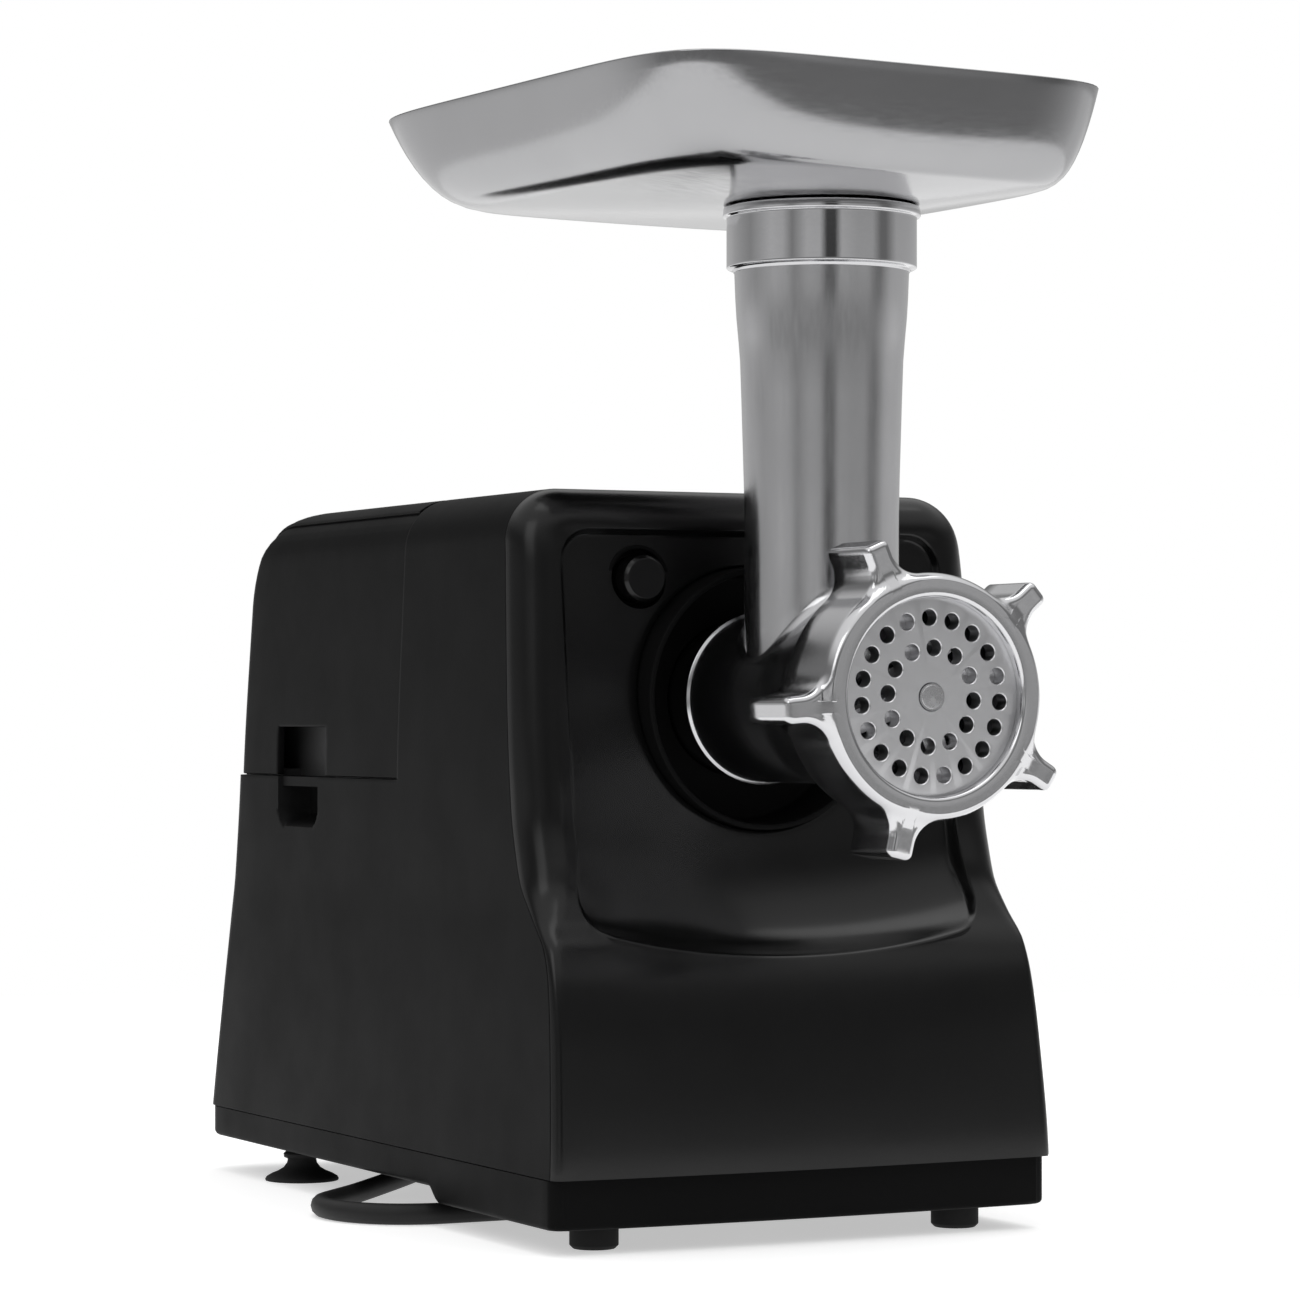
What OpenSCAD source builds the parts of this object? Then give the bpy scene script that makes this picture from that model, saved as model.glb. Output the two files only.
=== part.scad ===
/* [Body] */
// Distance from the base's front edge to the origin
front_reach = 128; // [126:1:130]
// Half width of the body at the bottom seam
half_w = 86.1; // [85:0.1:87]
// Height of the body's flat top
top_z = 230.8; // [230:0.1:232]
// Height of the seam between the base and the housing
seam_z = 23; // [22:0.5:24]
// Thickness of the moulded housing wall
wall = 2.4; // [2:0.1:2.8]
// Thickness of the front moulding
fascia_wall = 3; // [2.6:0.1:3.2]
/* [Lid] */
// Depth at which the storage lid starts
lid_front = 125.6; // [124:0.1:127]
// Height of the storage lid's lower edge
lid_low = 140.5; // [139:0.1:142]
// How far the lid's skin lies below the housing's skin
lid_inset = 1; // [0.8:0.1:1.2]
/* [Grinding head] */
// Height of the auger's axis above the table
axis_z = 166.2; // [165:0.1:167]
// Outside radius of the barrel
barrel_r = 26; // [25.5:0.1:27]
// Radius of the bore that the auger turns in
bore_r = 23.3; // [23:0.1:23.6]
// Radius of the mincing plate
plate_r = 31; // [30.5:0.1:31.5]
// Thickness of the mincing plate
plate_t = 5.5; // [5:0.1:6]
// Depth of the feed tube's axis, negative towards the front
tube_d = -9.5; // [-11:0.5:-8]
// Outside radius of the screw ring
ring_r = 36; // [35.5:0.1:37]
/* [Tray] */
// Width of the food tray
tray_w = 163; // [158:1:168]
// Length of the food tray
tray_l = 202; // [196:1:206]
// Turn of the tray on its neck
tray_turn = 4.9; // [0:0.1:8]
// Height of the tray's rim
rim_z = 349.3; // [348:0.1:351]
/* [Gears] */
// Module of the auger gear pair
slow_module = 1.5; // [1.5:0.1:1.5]
// Module of the motor gear pair
fast_module = 1.25; // [1.25:0.05:1.25]
// Teeth of both pinions
pinion_teeth = 12; // [12:1:12]
// Teeth of the auger gear
auger_teeth = 42; // [42:1:42]
// Teeth of the layshaft gear
lay_teeth = 48; // [48:1:48]
/* [Cord] */
// Diameter of the mains cord
cord_dia = 6.8; // [6.6:0.1:7]
// Middle radius of the stored coil
coil_mid_r = 37; // [36.5:0.5:37.5]

/* [Hidden] */
$fn = 64;

front_y = -front_reach;
skin = half_w - 86.1;
slow_centres = slow_module * (auger_teeth + pinion_teeth) / 2;
fast_centres = fast_module * (lay_teeth + pinion_teeth) / 2;
lay_z = axis_z - slow_centres;
motor_z = lay_z - fast_centres;
round_r = 17.5;
round_z = top_z - round_r;
round_x = 79.4 + skin - round_r;
rear_r = 35;
rear_d = 236.3;
crease = [[0.4, 0], [0.4, 23], [3.6, 60], [7, 80], [10.8, 90], [21, 100], [29.8, 110], [33.5, 120],
    [36.1, 130], [37.5, 140], [45.3, 200], [46.4, 210], [47.5, 218], [48, 240]];
pivot_d = lid_front + 2.6;
pivot_z = top_z - 2.6;
button_x = -39;
button_z = 203;
button_turn = 180 - atan((button_z - axis_z) / -button_x);
button_reach = norm([button_x, button_z - axis_z]);
control_d = 92;
power_z = 196;
reverse_z = 173;
tube_y = front_y + tube_d;
exit_turn = 226.2;
coil_x = 52.6;
coil_d = 344;
run_z = cord_dia / 2;
// Corners of the cord's route, x and depth, from the strain relief to the coil
cord_route = [[-40, 204.6], [-46, 198.4], [-60, 183.7], [-80, 162.8], [-92, 150.3], [-99, 143],
    [-104, 136], [-106.6, 127], [-106, 117.5], [-101.5, 107.5], [-94, 100.2], [-84, 96.2],
    [-74, 95.6], [-58, 95.6], [-40, 95.6], [-22, 95.6], [-12, 97.1], [-2, 102.2], [4.5, 110.2],
    [7.5, 119], [8, 130], [8, 150], [8, 175], [8, 200], [8, 225], [8, 250], [8, 275], [8, 300],
    [8, 322], [8, 344]];
// The cord's tail from the coil to the plug: x, depth, height
tail_route = [[52.6, 376.7, 9.3], [62, 376.7, 9.3], [72, 376.7, 8.4], [82, 376.7, 6.6],
    [90, 376.7, 6.4], [96, 376.7, 7.6]];
plug_x = 96;
plug_d = 376.7;
plug_z = 7.6;

// ---- helpers: d is the distance behind the base's front edge

function back(d) = front_y + d;

module rod_x(d, z, x0, x1, r)
    translate([x0, back(d), z])
        rotate([0, 90, 0])
            cylinder(r = r, h = x1 - x0);

module rod_y(x, z, d0, d1, r)
    translate([x, back(d0), z])
        rotate([-90, 0, 0])
            cylinder(r = r, h = d1 - d0);

module cone_y(x, z, d0, d1, r0, r1)
    translate([x, back(d0), z])
        rotate([-90, 0, 0])
            cylinder(r1 = r0, r2 = r1, h = d1 - d0);

module pipe_y(x, z, d0, d1, r_out, r_in)
    difference() {
        rod_y(x, z, d0, d1, r_out);
        rod_y(x, z, d0 - 1, d1 + 1, r_in);
    }

// An outline in radius and depth, turned about the auger's axis
module along_axis(points)
    translate([0, front_y, axis_z])
        rotate([-90, 0, 0])
            rotate_extrude()
                polygon(points);

module hex_y(x, z, d0, d1, flats)
    translate([x, back(d0), z])
        rotate([-90, 0, 0])
            cylinder(r = flats / 2 / cos(30), h = d1 - d0, $fn = 6);

module block(x0, x1, d0, d1, z0, z1)
    translate([x0, back(d0), z0])
        cube([x1 - x0, d1 - d0, z1 - z0]);

// An outline in depth and height, carried across the width
module across(half, points)
    translate([-half, front_y, 0])
        rotate([90, 0, 90])
            linear_extrude(2 * half)
                polygon(points);

// A flat shape in x and height, carried from depth d0 to d1
module through(d0, d1)
    translate([0, back(d1), 0])
        rotate([90, 0, 0])
            linear_extrude(d1 - d0)
                children();

module around_axis(turn)
    translate([0, 0, axis_z])
        rotate([0, -turn, 0])
            children();

// A sweep of rings of points, closed at both ends
module ring_sweep(rings) {
    n = len(rings[0]);
    m = len(rings);
    walls = [for (i = [0 : m - 2], j = [0 : n - 1])
        [i * n + j, i * n + (j + 1) % n, (i + 1) * n + (j + 1) % n, (i + 1) * n + j]];
    first = [[for (j = [0 : n - 1]) n - 1 - j]];
    last = [[for (j = [0 : n - 1]) (m - 1) * n + j]];
    polyhedron(points = [for (r = rings) each r], faces = concat(walls, first, last), convexity = 8);
}

function unit(v) = v / norm(v);
function route_dir(p, i) = unit(p[min(i + 1, len(p) - 1)] - p[max(i - 1, 0)]);
function route_ring(c, dir, r, sides) =
    let (side = unit(cross(dir, [0, 0, 1])), up = cross(side, dir))
    [for (j = [0 : sides - 1]) let (a = 360 * j / sides) c + r * (cos(a) * side + sin(a) * up)];

// A helical spring along +Z from 0 to h
module spring(h, r, wire, turns) {
    steps = 14 * turns;
    path = [for (i = [0 : steps])
        [r * cos(i * 360 / 14), r * sin(i * 360 / 14), wire + (h - 2 * wire) * i / steps]];
    ring_sweep([for (i = [0 : steps])
        let (dir = route_dir(path, i), out = unit([path[i][0], path[i][1], 0]), up = cross(out, dir))
        [for (j = [0 : 5]) path[i] + wire * (cos(60 * j) * out + sin(60 * j) * up)]]);
}

// ---- the body's outer shape, t inside its skin

module body_front(t) {
    right = [[86.1, 22], [84.5, 60], [83, 90], [82.3, 105], [82.2, 140], [80, 200], [79.4, round_z]];
    polygon(concat(
        [for (p = right) [p[0] + skin - t, p[1]]],
        [for (i = [len(right) - 1 : -1 : 0]) [t - skin - right[i][0], right[i][1]]]));
    for (s = [-1, 1])
        translate([s * round_x, round_z])
            circle(r = round_r - t);
    translate([-round_x, round_z - 10])
        square([2 * round_x, 10 + round_r - t]);
}

module body_side(t) {
    polygon([[-10, 22], [292 - t, 22], [281 - t, 95], [274.6 - t, 140.5], [rear_d + rear_r - t, 195.8],
        [rear_d, 195.8], [rear_d, top_z - t], [-10, top_z - t]]);
    translate([rear_d, 195.8])
        circle(r = rear_r - t);
}

module body_solid(t)
    intersection() {
        through(-10, 300) body_front(t);
        translate([-100, front_y, 0])
            rotate([90, 0, 90])
                linear_extrude(200)
                    body_side(t);
    }

module behind_crease()
    across(100, concat(crease, [[330, 240], [330, 0]]));

// ---- base and feet

module base_shape(t)
    across(half_w - 0.5 - t, [[0.4 + t, 7.7 + t], [86 + t, 7.7 + t], [92, 12.5 + t], [290.5 - t, 12.5 + t],
        [292 - t, seam_z + 5], [0.4 + t, seam_z + 5]]);

module foot_places(x, d)
    for (s = [-1, 1])
        translate([s * x, back(d), 0])
            children();

module base_tray() color([0.08, 0.08, 0.085]) difference() {
    union() {
        difference() {
            intersection() {
                base_shape(0);
                block(-100, 100, -5, 300, 0, seam_z);
            }
            base_shape(wall);
        }
        foot_places(63, 18.5) translate([0, 0, 8]) cylinder(r = 7, h = 9);
        foot_places(70, 237.5) translate([0, 0, 10.2]) cylinder(r = 9, h = 9);
        for (x = [-26, 26])
            block(x - 6, x + 6, 66, 78, 9, 74);
        for (x = [-28, 28], d = [138, 160])
            block(x - 7, x + 7, d - 4, d + 4, 14, 49);
        translate([-20, back(225), 0])
            rotate([0, 0, exit_turn])
                translate([-4, -8, 0.8])
                    cube([12, 16, 14]);
    }
    foot_places(63, 18.5) translate([0, 0, 5]) cylinder(r = 3, h = 8);
    foot_places(70, 237.5) translate([0, 0, 5]) cylinder(r = 4, h = 10);
    screw_places() translate([0, 0, -5]) cylinder(r = 2, h = 20);
    screw_places() translate([0, 0, -5 - wall]) cylinder(r = 3.4, h = 6.8);
    translate([-20, back(225), 5.2])
        rotate([0, 0, exit_turn])
            rotate([0, 90, 0])
                cylinder(r = 4.4, h = 30);
    for (i = [0 : 8])
        block(30, 60, 170 + 6 * i, 173 + 6 * i, 5, 20);
}

module front_feet() color([0.05, 0.05, 0.05]) foot_places(63, 18.5) {
    translate([0, 0, 1]) cylinder(r = 7.5, h = 6.7);
    cylinder(r1 = 6.5, r2 = 7.5, h = 1);
    cylinder(r = 3, h = 12);
}

module suction_feet() color([0.05, 0.05, 0.05]) foot_places(70, 237.5)
    rotate_extrude()
        polygon([[0, 2.5], [8, 0], [12.75, 0], [12.75, 1.4], [10, 3], [5, 6], [4.6, 10.2], [4, 10.2],
            [4, 15], [0, 15]]);

// Puts its children on the base's floor at each base screw
module screw_places()
    for (p = [[40, 7.7], [150, 12.5], [275, 12.5]], s = [-1, 1])
        translate([s * 79.5, back(p[0]), p[1] + wall])
            children();

module base_screws() color([0.6, 0.6, 0.62]) screw_places() {
    translate([0, 0, 0.4 - wall]) cylinder(r = 3.4, h = 1.4);
    translate([0, 0, 0.6 - wall]) cylinder(r = 2, h = 20);
}

// ---- housing

module scoop(s, t) {
    low = s > 0 ? 72 - t : -90;
    high = s > 0 ? 90 : -72 + t;
    block(low, high, 193 - t, 229 + t, 123 - t, lid_low + 1);
}

module main_housing() color([0.09, 0.09, 0.095]) difference() {
    union() {
        difference() {
            body_solid(0);
            body_solid(wall);
            block(-100, 100, -20, 320, 0, seam_z);
            block(-100, 100, lid_front - 0.4, 320, lid_low - 0.4, 240);
        }
        intersection() {
            body_solid(0);
            block(-100, 100, lid_front - 3, lid_front - 0.4, lid_low - 4, 240);
        }
        difference() {
            intersection() {
                body_solid(1);
                block(-100, 100, lid_front - 3, 300, lid_low - 4, lid_low - 0.4);
            }
            block(-74, 74, lid_front, 266, 0, 200);
        }
        for (s = [-1, 1])
            intersection() {
                body_solid(1);
                scoop(s, wall);
                block(-100, 100, 0, 300, 100, lid_low - 0.4);
            }
        for (s = [-1, 1])
            difference() {
                union() {
                    rod_x(pivot_d, pivot_z, s * 59.5 - 0.9, s * 59.5 + 0.9, 2.3);
                    block(s * 59.5 - 0.9, s * 59.5 + 0.9, lid_front - 3, pivot_d, pivot_z - 2.3, pivot_z + 2.3);
                }
                rod_x(pivot_d, pivot_z, s * 59.5 - 2, s * 59.5 + 2, 1.25);
            }
        difference() {
            screw_places() difference() {
                cylinder(r = 5, h = 28);
                translate([0, 0, -1]) cylinder(r = 2, h = 22);
            }
            for (s = [-1, 1])
                block(s > 0 ? 83 : -95, s > 0 ? 95 : -83, 0, 320, 0, seam_z);
        }
        for (d = [78, 106], z = [152, 212])
            rod_x(d, z, 60, 80, 3);
    }
    difference() {
        block(-100, 100, -20, 60, 0, 240);
        behind_crease();
    }
    for (s = [-1, 1]) scoop(s, 0);
    block(70, 90, 80, 104, 160, 210);
    for (i = [0 : 8])
        block(-30, 30, 262, 300, 60 + 7 * i, 63 + 7 * i);
}

module fascia_profile(t) {
    polygon(concat([[t, 0], [t, 23], [1.5 + t, 60], [7 + t, 88], [12.5 + t, 98], [18.5 + t, 107], [22.5 + t, 117],
        [24.6 + t, 127], [26 + t, 140], [29 + t, 166], [34 + t, 210]],
        [for (a = [180 : -10 : 90]) [47.2 + (12 - t) * cos(a), top_z - 12 + (12 - t) * sin(a)]],
        [[56 + t, top_z - t], [56 + t, 0]]));
}

module fascia_solid(t)
    intersection() {
        translate([-100, front_y, 0])
            rotate([90, 0, 90])
                linear_extrude(200)
                    fascia_profile(t);
        through(-10, 80) body_front(t);
    }

module recess(t)
    intersection() {
        across(66 + t, [[-20, 240], [40.8 + t, 240], [28 + t, 125], [26.6 + t, 115], [24 + t, 105.5],
            [19.5 + t, 97 - t], [14, 91.5 - t], [8, 88 - t], [-20, 86 - t]]);
        through(-20, 60) union() {
            translate([-66 - t, 60]) square([132 + 2 * t, 147.5]);
            translate([-56, 60]) square([112, 157.5 + t]);
            for (s = [-1, 1]) translate([s * 56, 207.5]) circle(r = 10 + t);
        }
    }

// Rounds the long upright edge between the front and a side
module edge_round(s)
    translate([s * 70.3, back(33.5), 120])
        rotate([-8.15, -1.85 * s, 0])
            translate([0, 0, -6])
                difference() {
                    translate([s > 0 ? 0 : -20, -20, 0]) cube([20, 20, 130]);
                    translate([0, 0, -1]) cylinder(r = 12, h = 132);
                }

module front_fascia() color([0.1, 0.1, 0.105]) difference() {
    fascia_solid(0);
    for (s = [-1, 1]) edge_round(s);
    difference() {
        fascia_solid(fascia_wall);
        recess(fascia_wall);
    }
    recess(0);
    intersection() {
        behind_crease();
        difference() {
            body_solid(-2);
            body_solid(fascia_wall + 0.6);
        }
    }
    block(-100, 100, -20, 320, -5, seam_z);
    rod_y(0, axis_z, 0, 60, 41);
    rod_y(button_x, button_z, 20, 60, 7.6);
}

module neck_socket() color([0.05, 0.05, 0.05]) difference() {
    union() {
        rod_y(0, axis_z, 25, 49, 41);
        for (a = [90, 210, 330])
            around_axis(a) rod_y(35, 0, 48, 62, 4);
    }
    rod_y(0, axis_z, 24, 46, 39);
    rod_y(0, axis_z, 40, 60, 24.06);
    for (a = [0, 180])
        around_axis(button_turn + 45 + a)
            difference() {
                rod_y(0, 0, 40, 60, 28.2);
                for (s = [-1, 1])
                    rotate([0, -s * 22, 0])
                        block(-60, 60, 30, 70, s > 0 ? 0 : -60, s > 0 ? 60 : 0);
            }
}

// ---- storage compartment and its lid

module storage_tub() color([0.12, 0.12, 0.125]) difference() {
    union() {
        block(-78, 78, 127.5, 270, lid_low - 0.4, lid_low + 2);
        block(-71, 71, 129, 262, lid_low, 196);
    }
    block(-69, 69, 131, 260, lid_low + 2, 200);
    for (s = [-1, 1])
        block(s > 0 ? 71.4 : -90, s > 0 ? 90 : -71.4, 187, 235, 130, 160);
}

module lid_zone()
    difference() {
        block(-100, 100, lid_front, 320, lid_low, 240);
        difference() {
            block(-100, 100, lid_front - 1, pivot_d, pivot_z, 240);
            rod_x(pivot_d, pivot_z, -101, 101, 2.6);
        }
        for (s = [-1, 1])
            rod_x(pivot_d, pivot_z, s * 59.5 - 1.3, s * 59.5 + 1.3, 3.2);
        for (s = [-1, 1])
            block(s * 59.5 - 1.3, s * 59.5 + 1.3, lid_front - 1, pivot_d, pivot_z - 3.2, 240);
    }

module storage_lid() color([0.09, 0.09, 0.095]) difference() {
    union() {
        intersection() {
            difference() {
                body_solid(lid_inset);
                body_solid(lid_inset + wall);
            }
            lid_zone();
        }
        rod_x(pivot_d, pivot_z, -58.2, 58.2, 2.6);
    }
    rod_x(pivot_d, pivot_z, -70, 70, 1.2);
    intersection() {
        difference() {
            body_solid(-1);
            body_solid(lid_inset);
        }
        block(-73, 73, pivot_d, 266, 200, 240);
    }
    block(-100, 100, 189, 232, 130, 157);
}

module lid_top_panel() color([0.09, 0.09, 0.095]) difference() {
    intersection() {
        difference() {
            body_solid(0);
            body_solid(lid_inset);
        }
        block(-73, 73, pivot_d, 266, 200, 240);
    }
    for (s = [-1, 1])
        rod_x(pivot_d, pivot_z, s * 59.5 - 1.3, s * 59.5 + 1.3, 3.2);
}

module lid_hinge_pin() color([0.7, 0.7, 0.72])
    rod_x(pivot_d, pivot_z, -60.4, 60.4, 1.2);

// ---- controls on the right side

module control_bezel() color([0.16, 0.16, 0.17]) difference() {
    union() {
        block(77, 82, 80, 104, 160, 210);
        block(81.5, 83.2, 78, 106, 158, 212);
        block(79.6, 82, 80, 104, 160, 210);
    }
    rod_x(control_d, power_z, 70, 90, 8.4);
    rod_x(control_d, reverse_z, 70, 90, 6.4);
    block(70, 81, 82.5, 101.5, 185.6, 206.4);
    block(70, 81, 82.5, 101.5, 163.4, 182.6);
    difference() {
        block(70, 90, 70, 110, 150, 220);
        block(70, 90, 80, 104, 160, 210);
        difference() {
            block(70, 90, 78, 106, 158, 212);
            body_solid(0.01);
        }
    }
}

module push_button(z, r) {
    rod_x(control_d, z, 78.9, 86, r);
    rod_x(control_d, z, 78.9, 80.9, r + 1.2);
    rod_x(control_d, z, 71, 78.9, 1.6);
}

module power_button() color([0.75, 0.12, 0.1]) push_button(power_z, 8);

module reverse_button() color([0.3, 0.3, 0.32]) push_button(reverse_z, 6);

module button_spring(z)
    translate([66, back(control_d), z])
        rotate([0, 90, 0])
            spring(12.9, 3, 0.35, 6);

module power_spring() color([0.7, 0.7, 0.72]) button_spring(power_z);

module reverse_spring() color([0.7, 0.7, 0.72]) button_spring(reverse_z);

module button_switches() color([0.2, 0.2, 0.22])
    for (z = [power_z, reverse_z])
        block(60, 66, 84, 100, z - 7, z + 7);

module circuit_board() color([0.1, 0.35, 0.2]) {
    block(58.2, 60, 74, 110, 148, 216);
    block(50, 58.2, 80, 92, 154, 166);
    rod_x(100, 160, 46, 58.2, 5);
}

// ---- release button and its latch

module release_button() color([0.08, 0.08, 0.085]) {
    rod_y(button_x, button_z, 32, 43, 7.2);
    cone_y(button_x, button_z, 31, 32, 6.2, 7.2);
    rod_y(button_x, button_z, 41.4, 43, 9);
    rod_y(button_x, button_z, 43, 54, 3);
}

module release_latch() color([0.7, 0.7, 0.72]) around_axis(button_turn) {
    block(43, 47.6, 43, 53.5, -4, 4);
    block(28.2, 47.6, 50, 53.5, -3.5, 3.5);
}

module release_spring() color([0.7, 0.7, 0.72])
    translate([button_x, back(60), button_z])
        rotate([90, 0, 0])
            spring(17, 4.2, 0.45, 6);

// ---- gearbox

module gearbox_outline(t) {
    translate([-38 + t, 74 + t]) square([76 - 2 * t, 118 - 2 * t]);
    translate([0, axis_z]) circle(r = 38 - t);
}

module cover_screw_places()
    for (x = [-33, 33], z = [79, 141, 187])
        translate([x, 0, z])
            children();

module gearbox_case() color([0.3, 0.3, 0.31]) difference() {
    union() {
        difference() {
            through(62, 98) gearbox_outline(0);
            difference() {
                through(66, 99) gearbox_outline(3);
                cover_screw_places() rod_y(0, 0, 60, 99, 4.5);
            }
        }
        rod_y(0, axis_z, 62, 71, 22);
        rod_y(0, lay_z, 64, 71, 10.5);
        block(-47, -31, 60, 64, 188, 211);
        for (x = [-26, 26])
            block(x - 6, x + 6, 66, 78, 74, 80);
    }
    rod_y(0, axis_z, 60, 64, 13);
    rod_y(0, axis_z, 63, 72, 19);
    rod_y(0, lay_z, 66, 72, 8);
    rod_y(button_x, button_z, 58, 66, 3.6);
    cover_screw_places() rod_y(0, 0, 80, 99, 1.7);
}

module gearbox_cover() color([0.3, 0.3, 0.31]) difference() {
    union() {
        through(98, 102) gearbox_outline(0);
        rod_y(0, axis_z, 96, 104, 16);
    }
    rod_y(0, axis_z, 96.5, 110, 13);
    rod_y(0, axis_z, 90, 97, 9);
    rod_y(0, lay_z, 97, 103, 8);
    rod_y(0, motor_z, 90, 110, 6);
    cover_screw_places() rod_y(0, 0, 90, 110, 2);
}

module gearbox_screws() color([0.6, 0.6, 0.62]) cover_screw_places() {
    rod_y(0, 0, 102, 104, 3.4);
    rod_y(0, 0, 84, 102, 1.7);
}

module output_bearings() color([0.75, 0.75, 0.77]) {
    pipe_y(0, axis_z, 64, 71, 19, 11.04);
    pipe_y(0, axis_z, 97, 103, 13, 8.04);
}

module output_shaft() color([0.65, 0.65, 0.67]) difference() {
    union() {
        rod_y(0, axis_z, 40, 71, 11);
        hex_y(0, axis_z, 71, 87, 17);
        rod_y(0, axis_z, 87, 103, 8);
    }
    hex_y(0, axis_z, 39, 60, 13.1);
}

// Corner points of a gear: involute flanks from the root to the tip
function flank(r, base) = let (q = sqrt(max((r / base) ^ 2 - 1, 0))) q * 180 / PI - atan(q);
function tooth_side(teeth, m, play) =
    let (pitch = teeth * m / 2, base = pitch * cos(20), low = max(base, pitch - 1.25 * m), high = pitch + m,
        half = 90 / teeth - play / 2 / pitch * 180 / PI + flank(pitch, base))
    [for (i = [0 : 3]) let (r = low + (high - low) * i / 3) [r, half - flank(r, base)]];
function polar(r, a) = [r * cos(a), r * sin(a)];
function gear_points(teeth, m, play) =
    let (side = tooth_side(teeth, m, play), root = teeth * m / 2 - 1.25 * m)
    [for (t = [0 : teeth - 1]) let (a = t * 360 / teeth) each concat(
        [polar(root, a - side[0][1])],
        [for (i = [0 : 3]) polar(side[i][0], a - side[i][1])],
        [for (i = [3 : -1 : 0]) polar(side[i][0], a + side[i][1])],
        [polar(root, a + side[0][1])])];

// A gear around the Y axis whose first tooth points at angle turn
module gear(z, d0, d1, teeth, m, turn, flats)
    translate([0, back(d1), z])
        rotate([90, 0, 0])
            linear_extrude(d1 - d0)
                difference() {
                    rotate(turn) polygon(gear_points(teeth, m, 0.14));
                    circle(r = flats / 2 / cos(30), $fn = 6);
                }

module output_gear() color([0.85, 0.85, 0.8])
    gear(axis_z, 72, 86, auger_teeth, slow_module, -90, 17);

module layshaft_gear() color([0.85, 0.85, 0.8]) {
    gear(lay_z, 71.5, 87, pinion_teeth, slow_module, 90 + 180 / pinion_teeth, 8);
    gear(lay_z, 87, 94, lay_teeth, fast_module, -90, 8);
}

module layshaft() color([0.65, 0.65, 0.67]) {
    rod_y(0, lay_z, 66.5, 71, 3.9);
    hex_y(0, lay_z, 71, 96, 8);
    rod_y(0, lay_z, 96, 101.5, 3.9);
}

module layshaft_bushes() color([0.75, 0.55, 0.3]) {
    pipe_y(0, lay_z, 66, 71, 8, 3.95);
    pipe_y(0, lay_z, 97, 102, 8, 3.95);
}

// ---- motor

module motor_front_bracket() color([0.7, 0.7, 0.72]) difference() {
    union() {
        block(-37, 37, 106, 109, motor_z - 12, motor_z + 12);
        rod_y(0, motor_z, 106, 113, 14);
        for (s = [-1, 1]) {
            rod_y(s * 33, motor_z, 108, 134, 3.5);
            block(s * 22 - 4, s * 22 + 4, 102, 107, motor_z - 10, motor_z + 10);
        }
    }
    rod_y(0, motor_z, 107, 114, 11);
    rod_y(0, motor_z, 100, 114, 6);
}

module motor_rear_bracket() color([0.7, 0.7, 0.72]) difference() {
    union() {
        block(-37, 37, 200, 203, motor_z - 12, motor_z + 12);
        rod_y(0, motor_z, 197, 206, 14);
        for (s = [-1, 1])
            rod_y(s * 33, motor_z, 170, 201, 3.5);
    }
    rod_y(0, motor_z, 196, 203, 11);
    rod_y(0, motor_z, 190, 205, 6);
}

module motor_bearings() color([0.75, 0.75, 0.77]) {
    pipe_y(0, motor_z, 107, 113, 11, 4.04);
    pipe_y(0, motor_z, 197, 203, 11, 4.04);
}

module motor_mounts() color([0.06, 0.06, 0.06]) difference() {
    for (x = [-28, 28], d = [138, 160])
        block(x - 8, x + 8, d - 5, d + 5, 44, motor_z - 33);
    for (x = [-28, 28], d = [138, 160])
        block(x - 7, x + 7, d - 4, d + 4, 40, 49);
}

module stator_core() color([0.45, 0.45, 0.48]) difference() {
    block(-39, 39, 132, 172, motor_z - 33, motor_z + 33);
    rod_y(0, motor_z, 130, 180, 20);
    for (s = [-1, 1]) {
        block(s * 21 - 7, s * 21 + 7, 130, 180, motor_z - 24, motor_z - 16);
        block(s * 21 - 7, s * 21 + 7, 130, 180, motor_z + 16, motor_z + 24);
        rod_y(s * 33, motor_z, 130, 134, 3.5);
        rod_y(s * 33, motor_z, 170, 173, 3.5);
    }
}

module field_coils() color([0.6, 0.3, 0.12])
    for (s = [-1, 1]) {
        low = s > 0 ? motor_z + 16.5 : motor_z - 23.5;
        difference() {
            block(-27, 27, 124, 180, low, low + 7);
            block(-15, 15, 131, 173, low - 1, low + 8);
            block(-28, 28, 131.9, 172.1, low + 7.01, low + 9);
        }
    }

module armature_core() color([0.5, 0.5, 0.52]) difference() {
    rod_y(0, motor_z, 132, 172, 19.4);
    for (a = [0 : 30 : 330])
        translate([0, 0, motor_z])
            rotate([0, a, 0])
                block(-1.2, 1.2, 131, 173, 12, 22);
    rod_y(0, motor_z, 130, 174, 5);
}

module armature_windings() color([0.65, 0.35, 0.15]) {
    pipe_y(0, motor_z, 123, 132, 16, 5);
    pipe_y(0, motor_z, 172, 181, 16, 5);
}

module commutator() color([0.75, 0.45, 0.2]) difference() {
    rod_y(0, motor_z, 181, 195, 12);
    rod_y(0, motor_z, 180, 196, 5);
    for (a = [0 : 15 : 345])
        translate([0, 0, motor_z])
            rotate([0, a, 0])
                block(-0.3, 0.3, 183, 196, 11, 13);
}

module motor_shaft() color([0.65, 0.65, 0.67]) {
    hex_y(0, motor_z, 86, 96, 7.4);
    rod_y(0, motor_z, 96, 121, 4);
    rod_y(0, motor_z, 121, 195, 5);
    rod_y(0, motor_z, 195, 204, 4);
}

module motor_pinion() color([0.65, 0.65, 0.67])
    gear(motor_z, 86.5, 94.5, pinion_teeth, fast_module, 90 + 180 / pinion_teeth, 7.4);

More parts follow.
